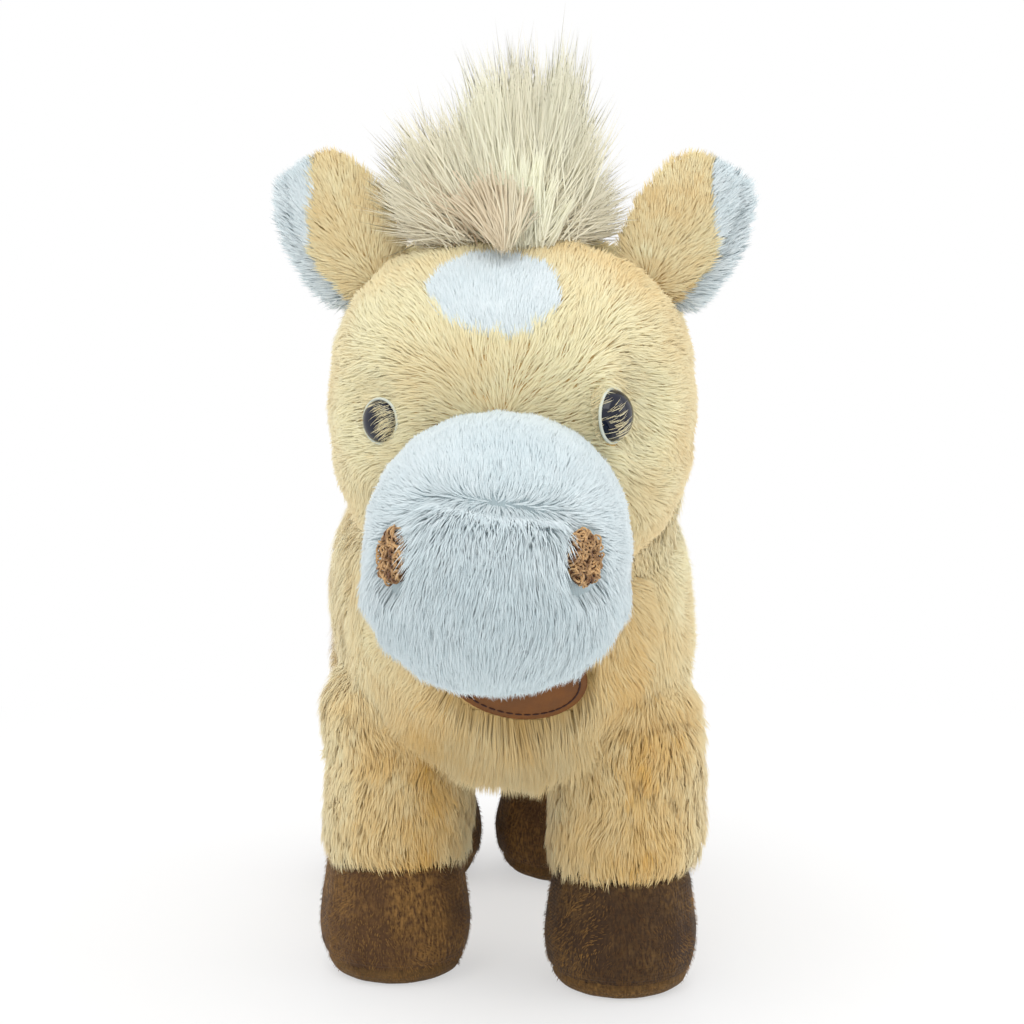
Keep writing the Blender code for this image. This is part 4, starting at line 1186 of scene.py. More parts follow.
class PLUSH_OT_nostrils(PlushPiece):
    """Ovals of looped brown yarn"""

    bl_idname = "plush.nostrils"
    bl_label = "Nostrils"

    def make(self, context):
        deep = colours().yarn_deep
        yarn = yarn_finish("Nostril yarn", deep, colours().yarn)
        # The ground under the loops is a darker copy of the yarn: painted shade in the gaps
        ground = yarn_finish("Nostril ground", darker(deep, 0.6), deep)
        rng = np.random.default_rng(41)
        for side in SIDES:
            node = "nostril_" + side
            base = soft_skin((node,), node + "_ground", "nostril")
            finish_piece(base, ground, "head", (node,))
            centre, outward, points = disc_pose(node, middle("muzzle_stuffing"))
            upward = square_to(outward, UP)
            across = np.cross(upward, outward)
            half = np.abs(np.stack([points @ across, points @ upward], 1)).max(0)
            face = centre + outward * ((points @ outward).max() - LOOP_SINK)
            loops = []
            for index in range(LOOP_COUNT):
                reach = math.sqrt((index + 0.5) / LOOP_COUNT) * LOOP_FIELD_SHARE
                turn = index * GOLDEN_TURN
                spot = across * half[0] * reach * math.cos(turn) + upward * half[1] * reach * math.sin(turn)
                loops.append(added(
                    "torus", node + "_loops", major_segments=9, minor_segments=5,
                    major_radius=rng.uniform(0.7, 1.15) * MM, minor_radius=rng.uniform(0.22, 0.3) * MM,
                    rotation=(rng.uniform(0.6, 1.57), rng.uniform(-0.5, 0.5), rng.uniform(0, TAU)),
                ))
                bpy.ops.object.transform_apply(location=True, rotation=True, scale=True)
                placed(loops[-1], face + spot, outward, upward)
            piece = joined(loops, node + "_loops")
            bpy.ops.object.shade_smooth()
            finish_piece(piece, yarn, "head")


LABEL_HALF = 0.6 * MM
LABEL_ROUND = 0.3
LABEL_INSET = 1.9 * MM
STITCHES = 46
STITCH_LENGTH = 1.9 * MM
STITCH_WIDTH = 0.55 * MM


def bowed(across, upward):
    """The terms of a gently bowed surface."""
    return np.stack([np.ones_like(across), across, upward, across**2, across * upward, upward**2], 1)


class PLUSH_OT_label(PlushPiece):
    """Plain oval label of imitation leather, with its stitched line"""

    bl_idname = "plush.label"
    bl_label = "Label"

    def make(self, context):
        centre, outward, points = disc_pose("chest_label", middle("body_stuffing"))
        _, _, axes = np.linalg.svd(points, full_matrices=False)
        across = axes[0] * np.sign(axes[0][0])
        upward = np.cross(outward, across)
        aside, above = points @ across, points @ upward
        half = np.abs(np.stack([aside, above], 1)).max(0)
        curve, *_ = np.linalg.lstsq(bowed(aside, above), points @ outward, rcond=None)

        def lay(piece, flat):
            """Moves a piece's points, given across, up and out of the label, onto its curve."""
            depth = bowed(flat[:, 0], flat[:, 1]) @ curve + flat[:, 2]
            place = centre + flat[:, :1] * across + flat[:, 1:2] * upward + depth[:, None] * outward
            move_points(piece, place)

        plate = added("uv_sphere", "label_plate", segments=96, ring_count=24, radius=1)
        flat = points_of(plate.data)
        flat[:, :2] *= half
        flat[:, 2] = LABEL_HALF * np.clip(flat[:, 2] / LABEL_ROUND, -1, 1)
        lay(plate, flat)
        bpy.ops.object.shade_smooth()
        leather = leather_finish("Label leather", colours().leather)
        finish_piece(plate, leather, "torso", ("chest_label",))
        inner = half - LABEL_INSET
        stitches = []
        for index in range(STITCHES):
            turn = TAU * index / STITCHES
            spot = inner * np.array((math.cos(turn), math.sin(turn)))
            heading = unit(inner * np.array((-math.sin(turn), math.cos(turn))))
            stitch = added("uv_sphere", "label_stitches", segments=10, ring_count=6, radius=1)
            flat = points_of(stitch.data) * (STITCH_LENGTH / 2, STITCH_WIDTH / 2, STITCH_WIDTH / 2)
            beside = np.array((-heading[1], heading[0]))
            flat[:, :2] = spot + flat[:, :1] * heading + flat[:, 1:2] * beside
            flat[:, 2] += LABEL_HALF
            lay(stitch, flat)
            stitches.append(stitch)
        line = joined(stitches, "label_stitches")
        bpy.ops.object.shade_smooth()
        thread = thread_finish("Label thread", colours().thread)
        finish_piece(line, thread, "torso", ("label_stitching",))


class PLUSH_OT_washers(PlushPiece):
    """Moulded washers that hold the eyes inside the head"""

    bl_idname = "plush.washers"
    bl_label = "Eye Washers"

    def make(self, context):
        moulded = plastic_finish("Washer plastic", colours().washer, 0.1)
        for side in SIDES:
            dress_node("eye_washer_" + side, moulded)


BACK_FLOW = (72 * MM, 108 * MM)
FACE_CENTRE = 12 * MM
COMB_START = (-3 * MM, 1 * MM)
LONG_START = (-1 * MM, 8 * MM)


def body_flow(roots, normals):
    """Down and back on the trunk, and straight down where it meets the legs."""
    high = smooth_step(roots[:, 2], *BACK_FLOW)[:, None]
    return DOWN * 0.8 + BACK * 0.55 * high


def leg_flow(roots, normals):
    return DOWN


def head_flow(roots, normals):
    """Away from the middle of the face, and down at the sides."""
    away = unit(roots - (middle("muzzle_bridge") + HEAD_FACE * FACE_CENTRE))
    side = np.abs(normals @ HEAD_SIDE)[:, None]
    return away + DOWN * 0.55 * side


def muzzle_flow(roots, normals):
    """Fanned out and down below the crease, brushed back above it."""
    below, _ = crease_place(roots)
    low = smooth_step(below, *COMB_START)[:, None]
    centre = crease_centre()
    aside = np.clip((roots - centre) @ HEAD_SIDE, -CREASE_HALF, CREASE_HALF) * 0.8
    away = unit(roots - (centre + aside[:, None] * (HEAD_SIDE + UP * CREASE_SLOPE)))
    return away + DOWN * 0.35 * low + (UP * 0.3 - HEAD_FACE * 0.4) * (1 - low)


def muzzle_length(roots):
    """Long below the crease and towards the chin, short at the sides and on top."""
    below, _ = crease_place(roots)
    share = smooth_step(below, *LONG_START)
    return pile().bridge_length + (pile().muzzle_length - pile().bridge_length) * share


# Partings and creases of the fur, darkened with painted shade: two ends in millimetres, reach and strength
SHADED_PARTINGS = (
    ((-20, -22, 56), (-21, -22, 34), 6.0, 0.40),
    ((-24, -32, 74), (-28, -26, 62), 6.5, 0.26),
    ((28, -40, 92), (33, -38, 60), 4.5, 0.14),
    ((33, -38, 60), (31, -38, 36), 4.0, 0.12),
    ((11, -36, 56), (12, -30, 42), 5.0, 0.22),
    ((-15, -44, 70), (16, -46, 72), 5.0, 0.16),
)
PARTING_WOBBLE = 9 * MM
# Heights over which the fur goes from painted shade low down to painted light above
TONE_RISE = (70 * MM, 165 * MM)
SLOW_TONE = 60 * MM
QUICK_TONE = 16 * MM


def parting_shade(roots):
    """How deep each root lies in the partings and creases of the fur, where shade is painted in."""
    total = np.zeros(len(roots))
    wobble = 1 + 0.35 * waves(roots, PARTING_WOBBLE, 12)
    for first, last, reach, strength in SHADED_PARTINGS:
        start = np.array(first) * MM
        line = np.array(last) * MM - start
        share = np.clip((roots - start) @ line / (line @ line), 0, 1)
        away = np.linalg.norm(roots - start - share[:, None] * line, axis=1)
        total += strength * bell(away / (reach * MM * wobble))
    return total


def butter_tone(roots, normals):
    """Deep low down and in the partings, where shade is painted in, and pale on the head and at the sides,
    where light is painted in.
    """
    height = smooth_step(roots[:, 2], *TONE_RISE)
    beside = smooth_step(np.abs(normals[:, 0]), 0.45, 0.95)
    slow = waves(roots, SLOW_TONE, 5) * 0.07
    quick = waves(roots, QUICK_TONE, 6) * 0.07
    return 0.50 + 0.24 * height + 0.20 * beside + slow + quick - parting_shade(roots)


def even_tone(tone, length=None, seed=None, spread=0.0):
    """A tone that hardly changes over a skin."""
    return lambda roots, normals: tone + (waves(roots, length, seed) * spread if length else 0.0)


LEG_FUR_TOP = 76 * MM
LEG_LEAN = math.radians(69)
LEG_SPACING = 3.2 * MM
SIDE_LEAN = math.radians(74)
CHEST_FRINGE_SHARE = 1.1
CHEST_HANG = math.radians(44)
CHEST_DEPTH = 34 * MM
UNDER_DEPTH = 12 * MM
FRINGE_RISE = (58 * MM, 84 * MM)
FRINGE_ASIDE = (12 * MM, 24 * MM)
FRINGE_DEPTH = (-24 * MM, -8 * MM)
HEM_BARE = 3 * MM
LABEL_DROPS = (0.0, 3.5 * MM, 7 * MM)
LABEL_REACH = 3 * MM
LABEL_BARE = 2.3 * MM
# Stretch of fur, number of strands, swirl, body and how far its strands turn to the front
STRETCHES = (
    ("chest", 55000, 0.8, "torso", FRONT_TURN),
    ("left", 36000, 0.35, "torso", 0.0),
    ("right", 36000, 0.35, "torso", 0.0),
    ("neck", 28000, 0.35, "neck", 0.0),
)


class PLUSH_OT_trunk_fur(PlushPiece):
    """Brushed butter-yellow fur of the trunk, neck and legs"""

    bl_idname = "plush.trunk_fur"
    bl_label = "Trunk, Neck and Leg Fur"

    def make(self, context):
        fur = fur_finish("Butter fur", "butter", 0.85)
        form = SKINS[FORM]
        names = ["torso_skin", "neck_skin", *(leg + "_leg_skin" for leg in LEGS), "head_skin"]
        label = tree_of(frame["nodes"]["chest_label"])
        chest_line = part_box("body_side_left")[0].y + CHEST_DEPTH
        middle_x = middle("belly_panel")[0]
        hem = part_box("front_left_leg_cover")[0].z

        def regions(points, normals):
            """Which stretch of fur each point of the form belongs to, or bare where none grows."""
            nearest = nearest_skin(points, names)
            found = np.array(["chest", "neck", *LEGS, "bare"])[nearest].astype("U12")
            trunk = (found == "chest") | (np.isin(found, LEGS) & (points[:, 2] > LEG_FUR_TOP))
            side = np.where(points[:, 0] > middle_x, "left", "right")
            found[trunk] = np.where(points[:, 1] > chest_line, side, "chest")[trunk]
            found[(points[:, 2] < hem + HEM_BARE) & (normals[:, 2] < -0.6)] = "bare"
            for drop in LABEL_DROPS:
                found[np.abs(distances(points + DOWN * drop, label, LABEL_REACH)) < LABEL_BARE] = "bare"
            return found

        kept = []

        def stretch(which):
            def mask(points, normals):
                if not kept:
                    kept.append(regions(points, normals))
                return kept[0] == which

            return mask

        def chest_length(roots):
            """Longer where the fur hangs down between the front legs."""
            low = 1 - smooth_step(roots[:, 2], *FRINGE_RISE)
            between = 1 - smooth_step(np.abs(roots[:, 0] - middle_x), *FRINGE_ASIDE)
            ahead = 1 - smooth_step(roots[:, 1], *(chest_line + depth for depth in FRINGE_DEPTH))
            return pile().body_length * (1 + CHEST_FRINGE_SHARE * low * between * ahead)

        def chest_lean(roots, normals):
            """Standing off the skin where it hangs down between the front legs."""
            under = smooth_step(-normals[:, 2], 0.1, 0.8) * (roots[:, 1] < chest_line - UNDER_DEPTH)
            return pile().lean - CHEST_HANG * under

        for index, (which, count, swirl, body, turn) in enumerate(STRETCHES):
            name = "neck_fur" if which == "neck" else f"torso_{which}_fur"
            length, lean = (chest_length, chest_lean) if which == "chest" else (pile().body_length, SIDE_LEAN)
            piece = coat(
                name, form, count, length, body_flow, butter_tone, 100 + 10 * index,
                swirl=swirl, lean=lean, mask=stretch(which), turn=turn,
            )
            finish_piece(piece, fur, body)
        for index, leg in enumerate(LEGS):
            count, turn = (33000, FRONT_TURN) if leg.startswith("front") else (18000, 0.0)
            piece = coat(
                leg + "_leg_fur", form, count, pile().leg_length, leg_flow, butter_tone, 200 + 10 * index,
                swirl=0.5, gather=0.3, spacing=LEG_SPACING, mask=stretch(leg), lean=LEG_LEAN, turn=turn,
            )
            finish_piece(piece, fur)
            ride_hip(piece)


SPOT_ASIDE = 1.6 * MM
SPOT_UP = -2.8 * MM
SPOT_TILT = 0.12
SPOT_SIZE_SHARES = (0.94, 0.92)
SPOT_EDGE = 8 * MM
SPOT_TONE = 20 * MM
SPOT_LEAN = math.radians(58)
FACE_SWIRL = 17 * MM
EYE_DEPTH = 3 * MM


class PLUSH_OT_head_fur(PlushPiece):
    """Brushed fur of the head, with its white spot"""

    bl_idname = "plush.head_fur"
    bl_label = "Head Fur"

    def make(self, context):
        head = SKINS["head_skin"]
        centre = middle("head_stuffing")
        spot_middle = middle("forehead_spot")
        spot_out = unit(spot_middle - centre)
        spot_side = square_to(spot_out, HEAD_SIDE)
        spot_up = np.cross(spot_out, spot_side)
        spot_up = spot_up * np.sign(spot_up[2])
        axes = (spot_side, spot_up)
        spot_points = points_of(frame["nodes"]["forehead_spot"].data) - spot_middle
        spot_half = [np.abs(spot_points @ axis).max() * share for axis, share in zip(axes, SPOT_SIZE_SHARES)]
        spot_middle = spot_middle - spot_side * SPOT_ASIDE + spot_up * SPOT_UP
        clear = open_to("neck_skin", "muzzle_skin", "torso_skin", reach=ABOVE_SEAM)
        eyes = [eye_seat(side) for side in SIDES]

        def stretch(which):
            def mask(points, normals):
                across = (points - spot_middle) @ spot_side / spot_half[0]
                upward = (points - spot_middle) @ spot_up / spot_half[1] + SPOT_TILT * across
                away = np.hypot(across, upward) + waves(points, SPOT_EDGE, 13) * 0.05
                on_spot = (1 - smooth_step(away, 0.94, 1.04)) * (normals @ spot_out > 0.2)
                left = (points - centre) @ HEAD_SIDE > 0
                off = 1 - on_spot
                shares = {"spot": on_spot, "left": off * left, "right": off * ~left}[which]
                for seat, outward, widest, _ in eyes:
                    shares = shares * (from_axis(points, seat, outward, EYE_DEPTH) >= widest * RIM_SHARE)
                chosen = shares > 0
                shares[chosen] *= clear(points[chosen], normals[chosen])
                return shares

            return mask

        def tone(roots, normals):
            # Painted light: paler where the head faces the front, and with less of the painted side light at
            # its sides
            ahead = smooth_step(normals @ HEAD_FACE, 0.3, 0.9)
            beside = smooth_step(np.abs(normals @ HEAD_SIDE), 0.3, 0.9)
            return butter_tone(roots, normals) - 0.06 + 0.24 * ahead - 0.10 * beside

        fur = fur_finish("Butter face fur", "butter", 0.97, 0.95)
        for index, side in enumerate(SIDES):
            piece = coat(
                f"head_{side}_fur", head, 54000, pile().head_length, head_flow, tone, 300 + 10 * index,
                swirl=0.5, swirl_length=FACE_SWIRL, mask=stretch(side), gather=0.14, turn=FRONT_TURN,
                tone_noise=0.035,
            )
            finish_piece(piece, fur, "head")
        white_tone = even_tone(0.8, SPOT_TONE, 7, 0.08)
        piece = coat(
            "forehead_spot_fur", head, 9000, pile().bridge_length, head_flow, white_tone, 330,
            swirl=0.2, mask=stretch("spot"), gather=0.15, lean=SPOT_LEAN,
        )
        finish_piece(piece, fur_finish("White spot fur", "white", 0.95, 0.9), "head")


MUZZLE_LEAN = math.radians(65)
# Painted shade: the muzzle greys from the first of these depths below the crease to the second
CHIN_SHADE = (-4 * MM, 22 * MM)
MUZZLE_BLOTCH = 25 * MM
NOSTRIL_REACH = 3 * MM
NOSTRIL_BARE = 1.7 * MM


class PLUSH_OT_muzzle_fur(PlushPiece):
    """Bluish-white fur of the nose and the muzzle, combed down from the crease"""

    bl_idname = "plush.muzzle_fur"
    bl_label = "Muzzle Fur"

    def make(self, context):
        white = fur_finish("White muzzle fur", "white", 0.95, 0.8)
        nostrils = [tree_of(frame["nodes"]["nostril_" + side]) for side in SIDES]
        clear = open_to("head_skin", reach=ABOVE_SEAM)

        def stretch(upper):
            def mask(points, normals):
                below, _ = crease_place(points)
                chosen = (below < 0) == upper
                for nostril in nostrils:
                    chosen &= np.abs(distances(points, nostril, NOSTRIL_REACH)) > NOSTRIL_BARE
                shares = np.zeros(len(points))
                shares[chosen] = clear(points[chosen], normals[chosen])
                return shares

            return mask

        def tone(roots, normals):
            """Paler above the crease and greyer towards the chin: painted shade that deepens lower down."""
            below, _ = crease_place(roots)
            return 0.57 - 0.20 * smooth_step(below, *CHIN_SHADE) + waves(roots, MUZZLE_BLOTCH, 8) * 0.10

        for part, upper, count, length, seed, swirl, gather, tone_noise in (
            ("front", False, 46000, muzzle_length, 400, 0.2, 0.22, 0.05),
            ("bridge", True, 30000, pile().bridge_length, 410, 0.25, 0.15, 0.04),
        ):
            piece = coat(
                f"muzzle_{part}_fur", SKINS["muzzle_skin"], count, length, muzzle_flow, tone, seed,
                swirl=swirl, mask=stretch(upper), gather=gather, tone_noise=tone_noise, lean=MUZZLE_LEAN,
                turn=FRONT_TURN,
            )
            finish_piece(piece, white, "head")


EAR_WHITE_SHARE = 0.22
EAR_TONE = 12 * MM


class PLUSH_OT_ear_fur(PlushPiece):
    """Fur of the ears' two layers"""

    bl_idname = "plush.ear_fur"
    bl_label = "Ear Fur"

    def make(self, context):
        yellow = fur_finish("Butter ear fur", "butter", 0.85)
        white = fur_finish("White ear fur", "white", 0.9)
        white_tone = even_tone(0.75, EAR_TONE, 9, 0.10)
        clear = open_to("head_skin")
        for index, side in enumerate(SIDES):
            hinge = np.array(joint_named(f"ear_{side}_fold")["pos_m"])
            outer = np.array((1.0 if side == "left" else -1.0, 0, 0))
            low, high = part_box("ear_front_" + side)
            edge = abs(np.array((low.x, high.x))).max() - EAR_WHITE_SHARE * (high.x - low.x)

            def flow(roots, normals):
                return unit(roots - hinge) + BACK * 0.2

            def inner(points, normals):
                return clear(points, normals) * (points @ outer < edge)

            def rim(points, normals):
                return clear(points, normals) * (points @ outer >= edge)

            for part, layer, count, material, slot, tone, mask in (
                ("front", "front", 8500, yellow, "butter_fur", butter_tone, inner),
                ("rim", "front", 2600, white, "white_fur", white_tone, rim),
                ("lining", "lining", 8000, white, "white_fur", white_tone, clear),
            ):
                piece = coat(
                    f"ear_{part}_{side}_fur", SKINS[f"ear_{layer}_{side}_skin"], count, pile().ear_length,
                    flow, tone, 500 + 10 * index + len(part), swirl=0.3, mask=mask,
                )
                finish_piece(piece, material, "ear_" + side)


CORE_SHARES = (0.45, 0.45, 0.55)
ROOT_SHARES = (0.30, 0.35, 0.0)
# Tips of the forelock seen from the front: across and up in millimetres, and the tone
TUFT_TIPS = (
    (-8, 238, 0.85), (-0.6, 241, 0.8), (5, 236, 0.8), (10.2, 241, 0.85), (13, 234, 0.8), (-13, 221, 0.8),
    (-12.5, 229, 0.85), (-6, 229, 0.85), (1, 231, 0.85), (8, 230, 0.85), (14, 225, 0.85), (19, 224, 0.8),
    (21, 214, 0.8), (24, 205, 0.75), (25, 199, 0.7), (-9, 217, 0.75), (0, 220, 0.8), (8, 219, 0.8),
    (15, 212, 0.75), (-4, 211, 0.65), (5, 209, 0.7), (12, 204, 0.65), (19, 200, 0.6),
)
TUFT_DEPTHS = (-42, -36, -30)
# Tips above this height drop by this share of their distance from the crest, all in millimetres
TUFT_TOP = 226
TUFT_CREST = -34
TUFT_DROP = 0.35
# Where the locks start, across and back, and how far above the forelock's foot, in millimetres
CROWN = (1.5, -38)
CROWN_RISE = 2
# Tips of the locks in front of it: across, back and up in millimetres, and the tone
FRONT_LOCKS = (
    (-3, -50, 217, 0.95), (1, -51, 214, 0.95), (5, -50, 215, 0.95), (9, -49, 209, 0.9), (-1, -52, 209, 0.9),
    (13, -48, 204, 0.85), (-7, -50, 207, 0.8),
)
# Locks that fall onto the forehead: root, tips with their tones, number of strands, spread of the roots
FALLEN_LOCKS = (
    ((-9.5, -47, 204), ((-5.0, -59, 191, 0.45),), 320, (4.2, 1.5, 2.6)),
    ((-2.5, -48, 203), ((-3.8, -59, 191.5, 0.6),), 220, (3.0, 1.5, 2.6)),
)
# Tips of the lock beside the forelock, given as the forelock's are; the low tones of its inner tips are
# painted shade inside the lock
LOBE_TIPS = (
    (-33, 209, 0.7), (-32.5, 203, 0.7), (-30, 197, 0.65), (-30, 215, 0.75), (-27, 221, 0.75),
    (-21, 222, 0.75), (-16, 219, 0.7), (-24, 212, 0.45), (-20, 206, 0.25), (-25, 203, 0.4),
    (-22, 198, 0.3), (-15, 203, 0.2),
)
LOBE_DEPTHS = (-42, -34)
REAR_LOCKS = 9
REAR_COUNT = 320
CREST_RISE = 1.5 * MM
CREST_AHEAD = 0.5 * MM
CREST_SINK = 2 * MM
TAIL_AHEAD = 2 * MM
TAIL_AHEAD_OF_MIDDLE = 2.5 * MM
TAIL_SINK = 3.5 * MM
TAIL_CORE = 1.5 * MM


def mm(*lengths):
    return np.array(lengths) * MM


def locks_to(tips, root, count, root_spread=(3.2, 3.0, 1.5), tip_spread=(2.8, 2.6, 2.6), **more):
    """Locks from about one root to each tip, all in millimetres, with each tip's tone fourth."""
    made = []
    for *place, tone in tips:
        tip = mm(*place)
        base = mm(*root)
        made.append({
            "root": base + (tip - base) * ROOT_SHARES, "tip": tip, "count": count, "tone": tone,
            "root_spread": mm(*root_spread), "tip_spread": mm(*tip_spread), "shortest": 0.6, **more,
        })
    return made


class PLUSH_OT_mane(PlushPiece):
    """Long pile: the forelock, the lock beside it, the crest behind and the tail"""

    bl_idname = "plush.mane"
    bl_label = "Mane and Tail"

    def make(self, context):
        straight = fur_finish("Long beige pile", "beige", 0.85, 0.9)
        backing = backing_finish("Mane backing", blended(colours().beige_deep, colours().beige_pale, 0.45))
        foot = np.append(middle("forelock")[:2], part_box("forelock")[0].z)
        for node in ("forelock", "side_lock", "mane_crest", "tail_lock"):
            core = soft_skin((node,), node + "_core", "tail" if node == "tail_lock" else "lock")
            if node in ("forelock", "side_lock"):
                move_points(core, foot + (points_of(core.data) - foot) * CORE_SHARES)
            finish_piece(core, backing, "tail" if node == "tail_lock" else "head", (node,))
        dress_node("tail_root", backing)
        piece = coat(
            "tail_root_fur", frame["nodes"]["tail_root"], 1800, pile().tail_root_length, body_flow,
            even_tone(0.6), 640, turn=-FRONT_TURN,
        )
        finish_piece(piece, straight, "tail")
        rng = np.random.default_rng(600)
        crown = (*CROWN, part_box("forelock")[0].z / MM + CROWN_RISE)
        column = []
        for across, up, tone in TUFT_TIPS:
            for back in TUFT_DEPTHS:
                drop = TUFT_DROP * abs(back - TUFT_CREST) if up > TUFT_TOP else 0
                stray = (rng.normal(0, 1.2), rng.normal(0, 1), rng.normal(0, 1))
                place = (across + stray[0], back + stray[1], up - drop + stray[2], tone)
                column += locks_to([place], crown, 205)
        column += locks_to(FRONT_LOCKS, (0.5, -49, crown[2] - 1), 110, (1.6, 1, 1), (0.8, 0.8, 1))
        for root, tips, count, spread in FALLEN_LOCKS:
            column += locks_to(tips, root, count, spread, (0.7, 0.7, 0.7), bow=mm(0, -3.5, 2.5))
        lobe = []
        for across, up, tone in LOBE_TIPS:
            for back in LOBE_DEPTHS:
                place = (across + rng.normal(0, 1), back, up + rng.normal(0, 1), tone)
                lobe += locks_to([place], (crown[0] - 5, crown[1], crown[2]), 180)
        crest = []
        low, high = (np.array(corner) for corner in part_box("mane_crest"))
        for share in np.linspace(0.05, 0.95, REAR_LOCKS):
            root = np.array((low[0] + high[0], 0, 0)) / 2
            root[1] = low[1] + (high[1] - low[1]) * share
            root[2] = high[2] - (high[2] - low[2]) * share**1.6 - CREST_SINK
            tip = root + mm(rng.uniform(-4, 4), 9, 11 - 9 * share)
            crest.append({
                "root": root, "tip": tip, "count": REAR_COUNT, "tone": rng.uniform(0.6, 0.85),
                "core": root + (tip - root) * 0.45 + DOWN * CREST_SINK,
                "root_spread": mm(4, 2, 1), "tip_spread": mm(5, 3, 3),
            })
        tail = []
        low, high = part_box("tail_lock")
        centre = middle("tail_lock")
        for index in range(REAR_LOCKS):
            turn = TAU * index / REAR_LOCKS
            ring = mm(math.cos(turn) * 4, math.sin(turn) * 2.2, 0)
            root = np.array((centre[0], centre[1] - TAIL_AHEAD_OF_MIDDLE, high.z - TAIL_SINK)) + ring
            tip = np.array((centre[0], centre[1], low.z)) + ring * 0.7
            tail.append({
                "root": root, "tip": tip, "count": REAR_COUNT, "tone": rng.uniform(0.6, 0.85),
                "root_spread": mm(1.6, 1.4, 2.6), "tip_spread": mm(2.2, 1.4, 3),
                "bow": ring * 1.2, "shortest": 0.5,
            })
        column_core = mm(crown[0], crown[1] + 2.5, crown[2] + 8)
        lobe_core = mm(crown[0] - 12, crown[1] + 1.5, crown[2] + 8)
        for name, locks, core, seed, turns, body in (
            ("forelock_pile", column, column_core, 601, {}, "head"),
            ("side_lock_pile", lobe, lobe_core, 610, {}, "head"),
            ("mane_crest_pile", crest, None, 620, {"rise": CREST_RISE, "ahead": CREST_AHEAD}, "head"),
            ("tail_pile", tail, centre - BACK * TAIL_CORE, 630, {"rise": 0.0, "ahead": TAIL_AHEAD}, "tail"),
        ):
            finish_piece(long_pile(name, locks, core, seed, **turns), straight, body)


FLOOR_RADIUS = 4.0
SENSOR_WIDTH = 36.0
# Name, place, size and share of the key light's power
LAMPS = (
    ("key_light", (-0.3, -0.75, 1.35), 1.1, 1.0),
    ("side_light", (1.2, -0.3, 0.8), 0.9, 0.3),
    ("back_light", (0.2, 1.2, 1.0), 0.9, 0.35),
)
WHITE = (1.0, 1.0, 1.0)
WHITE_NEAR = 0.16
WHITE_FAR = 0.34
FILL_FROM_BELOW = 0.38


def floor_finish():
    """Pale near the toy, where its shadow falls, and plain white further out."""
    finish = Finish("Pale floor", roughness=0.9)
    finish.close(srgb(246, 246, 246))
    away = finish.node("ShaderNodeVectorMath", {"operation": "LENGTH"}, [finish.place()], output="Value")
    share = (0.55 + 0.45 * away.between(WHITE_NEAR, WHITE_FAR)) * finish.shown_plainly()
    glow = finish.node("ShaderNodeEmission", {}, {"Color": WHITE})
    shaded = Wire(finish, finish.shader.outputs[0])
    blend = finish.node("ShaderNodeMixShader", {}, [share, shaded, glow])
    finish.feed(finish.tree.nodes["Material Output"].inputs["Surface"], blend)
    return finish.material


def studio(fill):
    """A world that is white behind the toy, with a softer fill on the toy that comes mostly from above."""
    world = bpy.data.worlds.new("Studio")
    world.use_nodes = True
    nodes = Nodes(world.node_tree)
    place = nodes.node("ShaderNodeTexCoord", output="Generated")
    height = nodes.node("ShaderNodeSeparateXYZ", {}, [place], "Z")
    limits = {"From Min": -1, "To Min": FILL_FROM_BELOW * fill, "To Max": fill}
    strength = nodes.node("ShaderNodeMapRange", {}, {"Value": height, **limits})
    light = nodes.node("ShaderNodeBackground", {}, {"Color": WHITE, "Strength": strength})
    white = nodes.node("ShaderNodeBackground", {}, {"Color": WHITE, "Strength": 1})
    blend = nodes.node("ShaderNodeMixShader", {}, [nodes.shown_plainly(), light, white])
    nodes.feed(world.node_tree.nodes["World Output"].inputs["Surface"], blend)
    return world


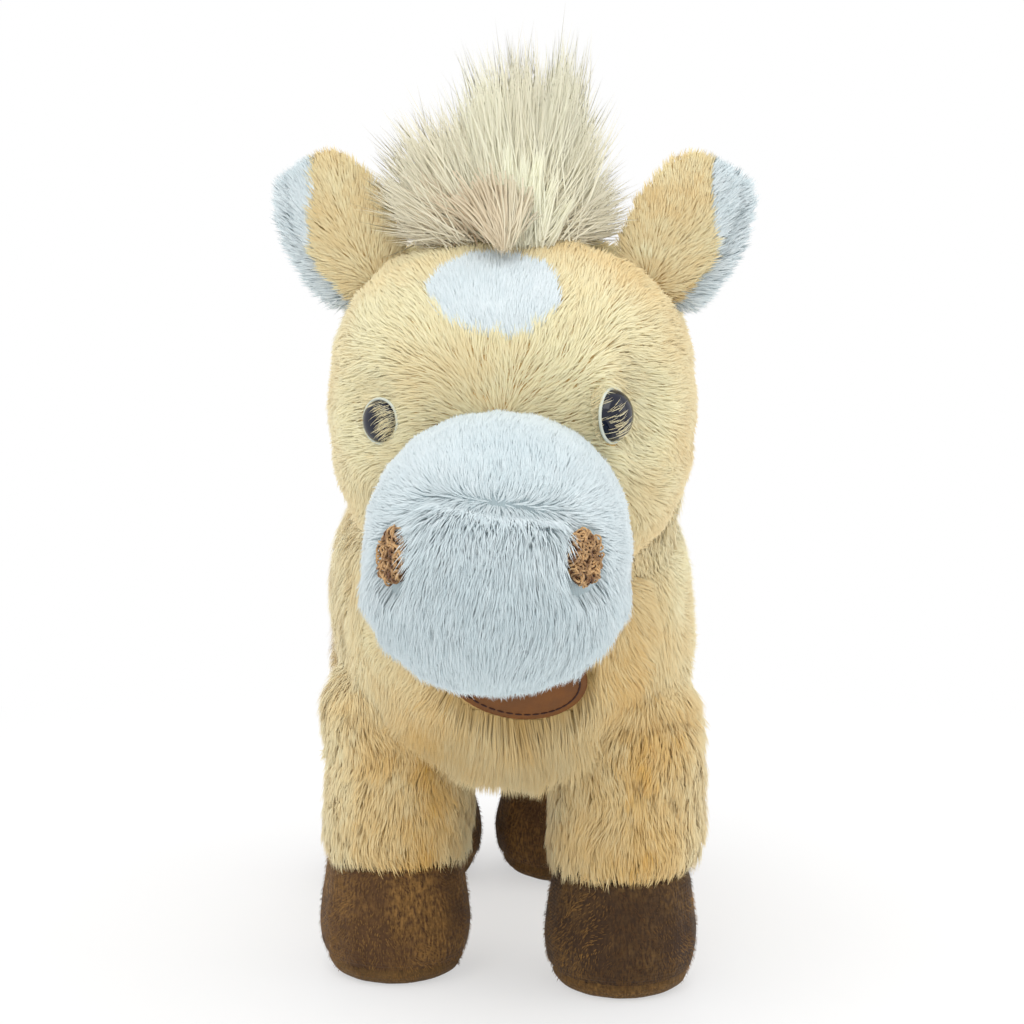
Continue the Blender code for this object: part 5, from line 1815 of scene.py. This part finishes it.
class PLUSH_OT_stage(PlushPiece):
    """Pale floor, soft light and the camera"""

    bl_idname = "plush.stage"
    bl_label = "Stage"

    def make(self, context):
        scene = context.scene
        stage = scene.plush_stage
        floor = added("circle", "floor", vertices=96, radius=FLOOR_RADIUS, fill_type="NGON")
        floor.data.materials.append(floor_finish())
        aim = Vector((stage.camera_aim_side, stage.camera_aim_back, stage.camera_height))
        level = math.cos(stage.elevation)
        aside, ahead = math.sin(stage.azimuth) * level, -math.cos(stage.azimuth) * level
        away = Vector((aside, ahead, math.sin(stage.elevation)))
        bpy.ops.object.camera_add(location=aim + away * stage.camera_distance)
        camera = context.object
        camera.rotation_euler = away.to_track_quat("Z", "Y").to_euler()
        camera.data.lens = stage.lens
        camera.data.sensor_fit = "HORIZONTAL"
        camera.data.sensor_width = SENSOR_WIDTH
        scene.camera = camera
        for name, place, size, power in LAMPS:
            bpy.ops.object.light_add(type="AREA", location=place)
            lamp = context.object
            lamp.name = name
            lamp.data.size = size
            lamp.data.energy = power * stage.key_power
            lamp.rotation_euler = (Vector(place) - aim).to_track_quat("Z", "Y").to_euler()
        scene.world = studio(stage.fill)
        scene.view_settings.view_transform = "Standard"


STEPS = (
    PLUSH_OT_stage,
    PLUSH_OT_trunk_skin,
    PLUSH_OT_head_skin,
    PLUSH_OT_leg_skins,
    PLUSH_OT_ear_skins,
    PLUSH_OT_grooming_form,
    PLUSH_OT_hooves,
    PLUSH_OT_eyes,
    PLUSH_OT_lashes,
    PLUSH_OT_washers,
    PLUSH_OT_nostrils,
    PLUSH_OT_label,
    PLUSH_OT_trunk_fur,
    PLUSH_OT_head_fur,
    PLUSH_OT_muzzle_fur,
    PLUSH_OT_ear_fur,
    PLUSH_OT_mane,
)
GROUPS = {"plush_pile": PlushPile, "plush_colours": PlushColours, "plush_stage": PlushStage}


class PLUSH_PT_panel(bpy.types.Panel):
    """The toy's pieces, sizes and colours"""

    bl_idname = "PLUSH_PT_panel"
    bl_label = "Plush Horse"
    bl_space_type = "VIEW_3D"
    bl_region_type = "UI"
    bl_category = "Plush Horse"

    def draw(self, context):
        for group in (getattr(context.scene, name) for name in GROUPS):
            box = self.layout.box()
            for name in group.__annotations__:
                box.prop(group, name)
        for step in STEPS:
            self.layout.operator(step.bl_idname)


def register():
    for name, group in GROUPS.items():
        bpy.utils.register_class(group)
        setattr(bpy.types.Scene, name, bpy.props.PointerProperty(type=group))
    for made in (*STEPS, PLUSH_PT_panel):
        bpy.utils.register_class(made)


def unregister():
    for made in reversed((*STEPS, PLUSH_PT_panel)):
        bpy.utils.unregister_class(made)
    for name, group in GROUPS.items():
        delattr(bpy.types.Scene, name)
        bpy.utils.unregister_class(group)


def main():
    register()
    for step in STEPS:
        group, name = step.bl_idname.split(".")
        getattr(getattr(bpy.ops, group), name)()
    bpy.data.objects.remove(SKINS.pop(FORM))


if __name__ == "__main__":
    main()
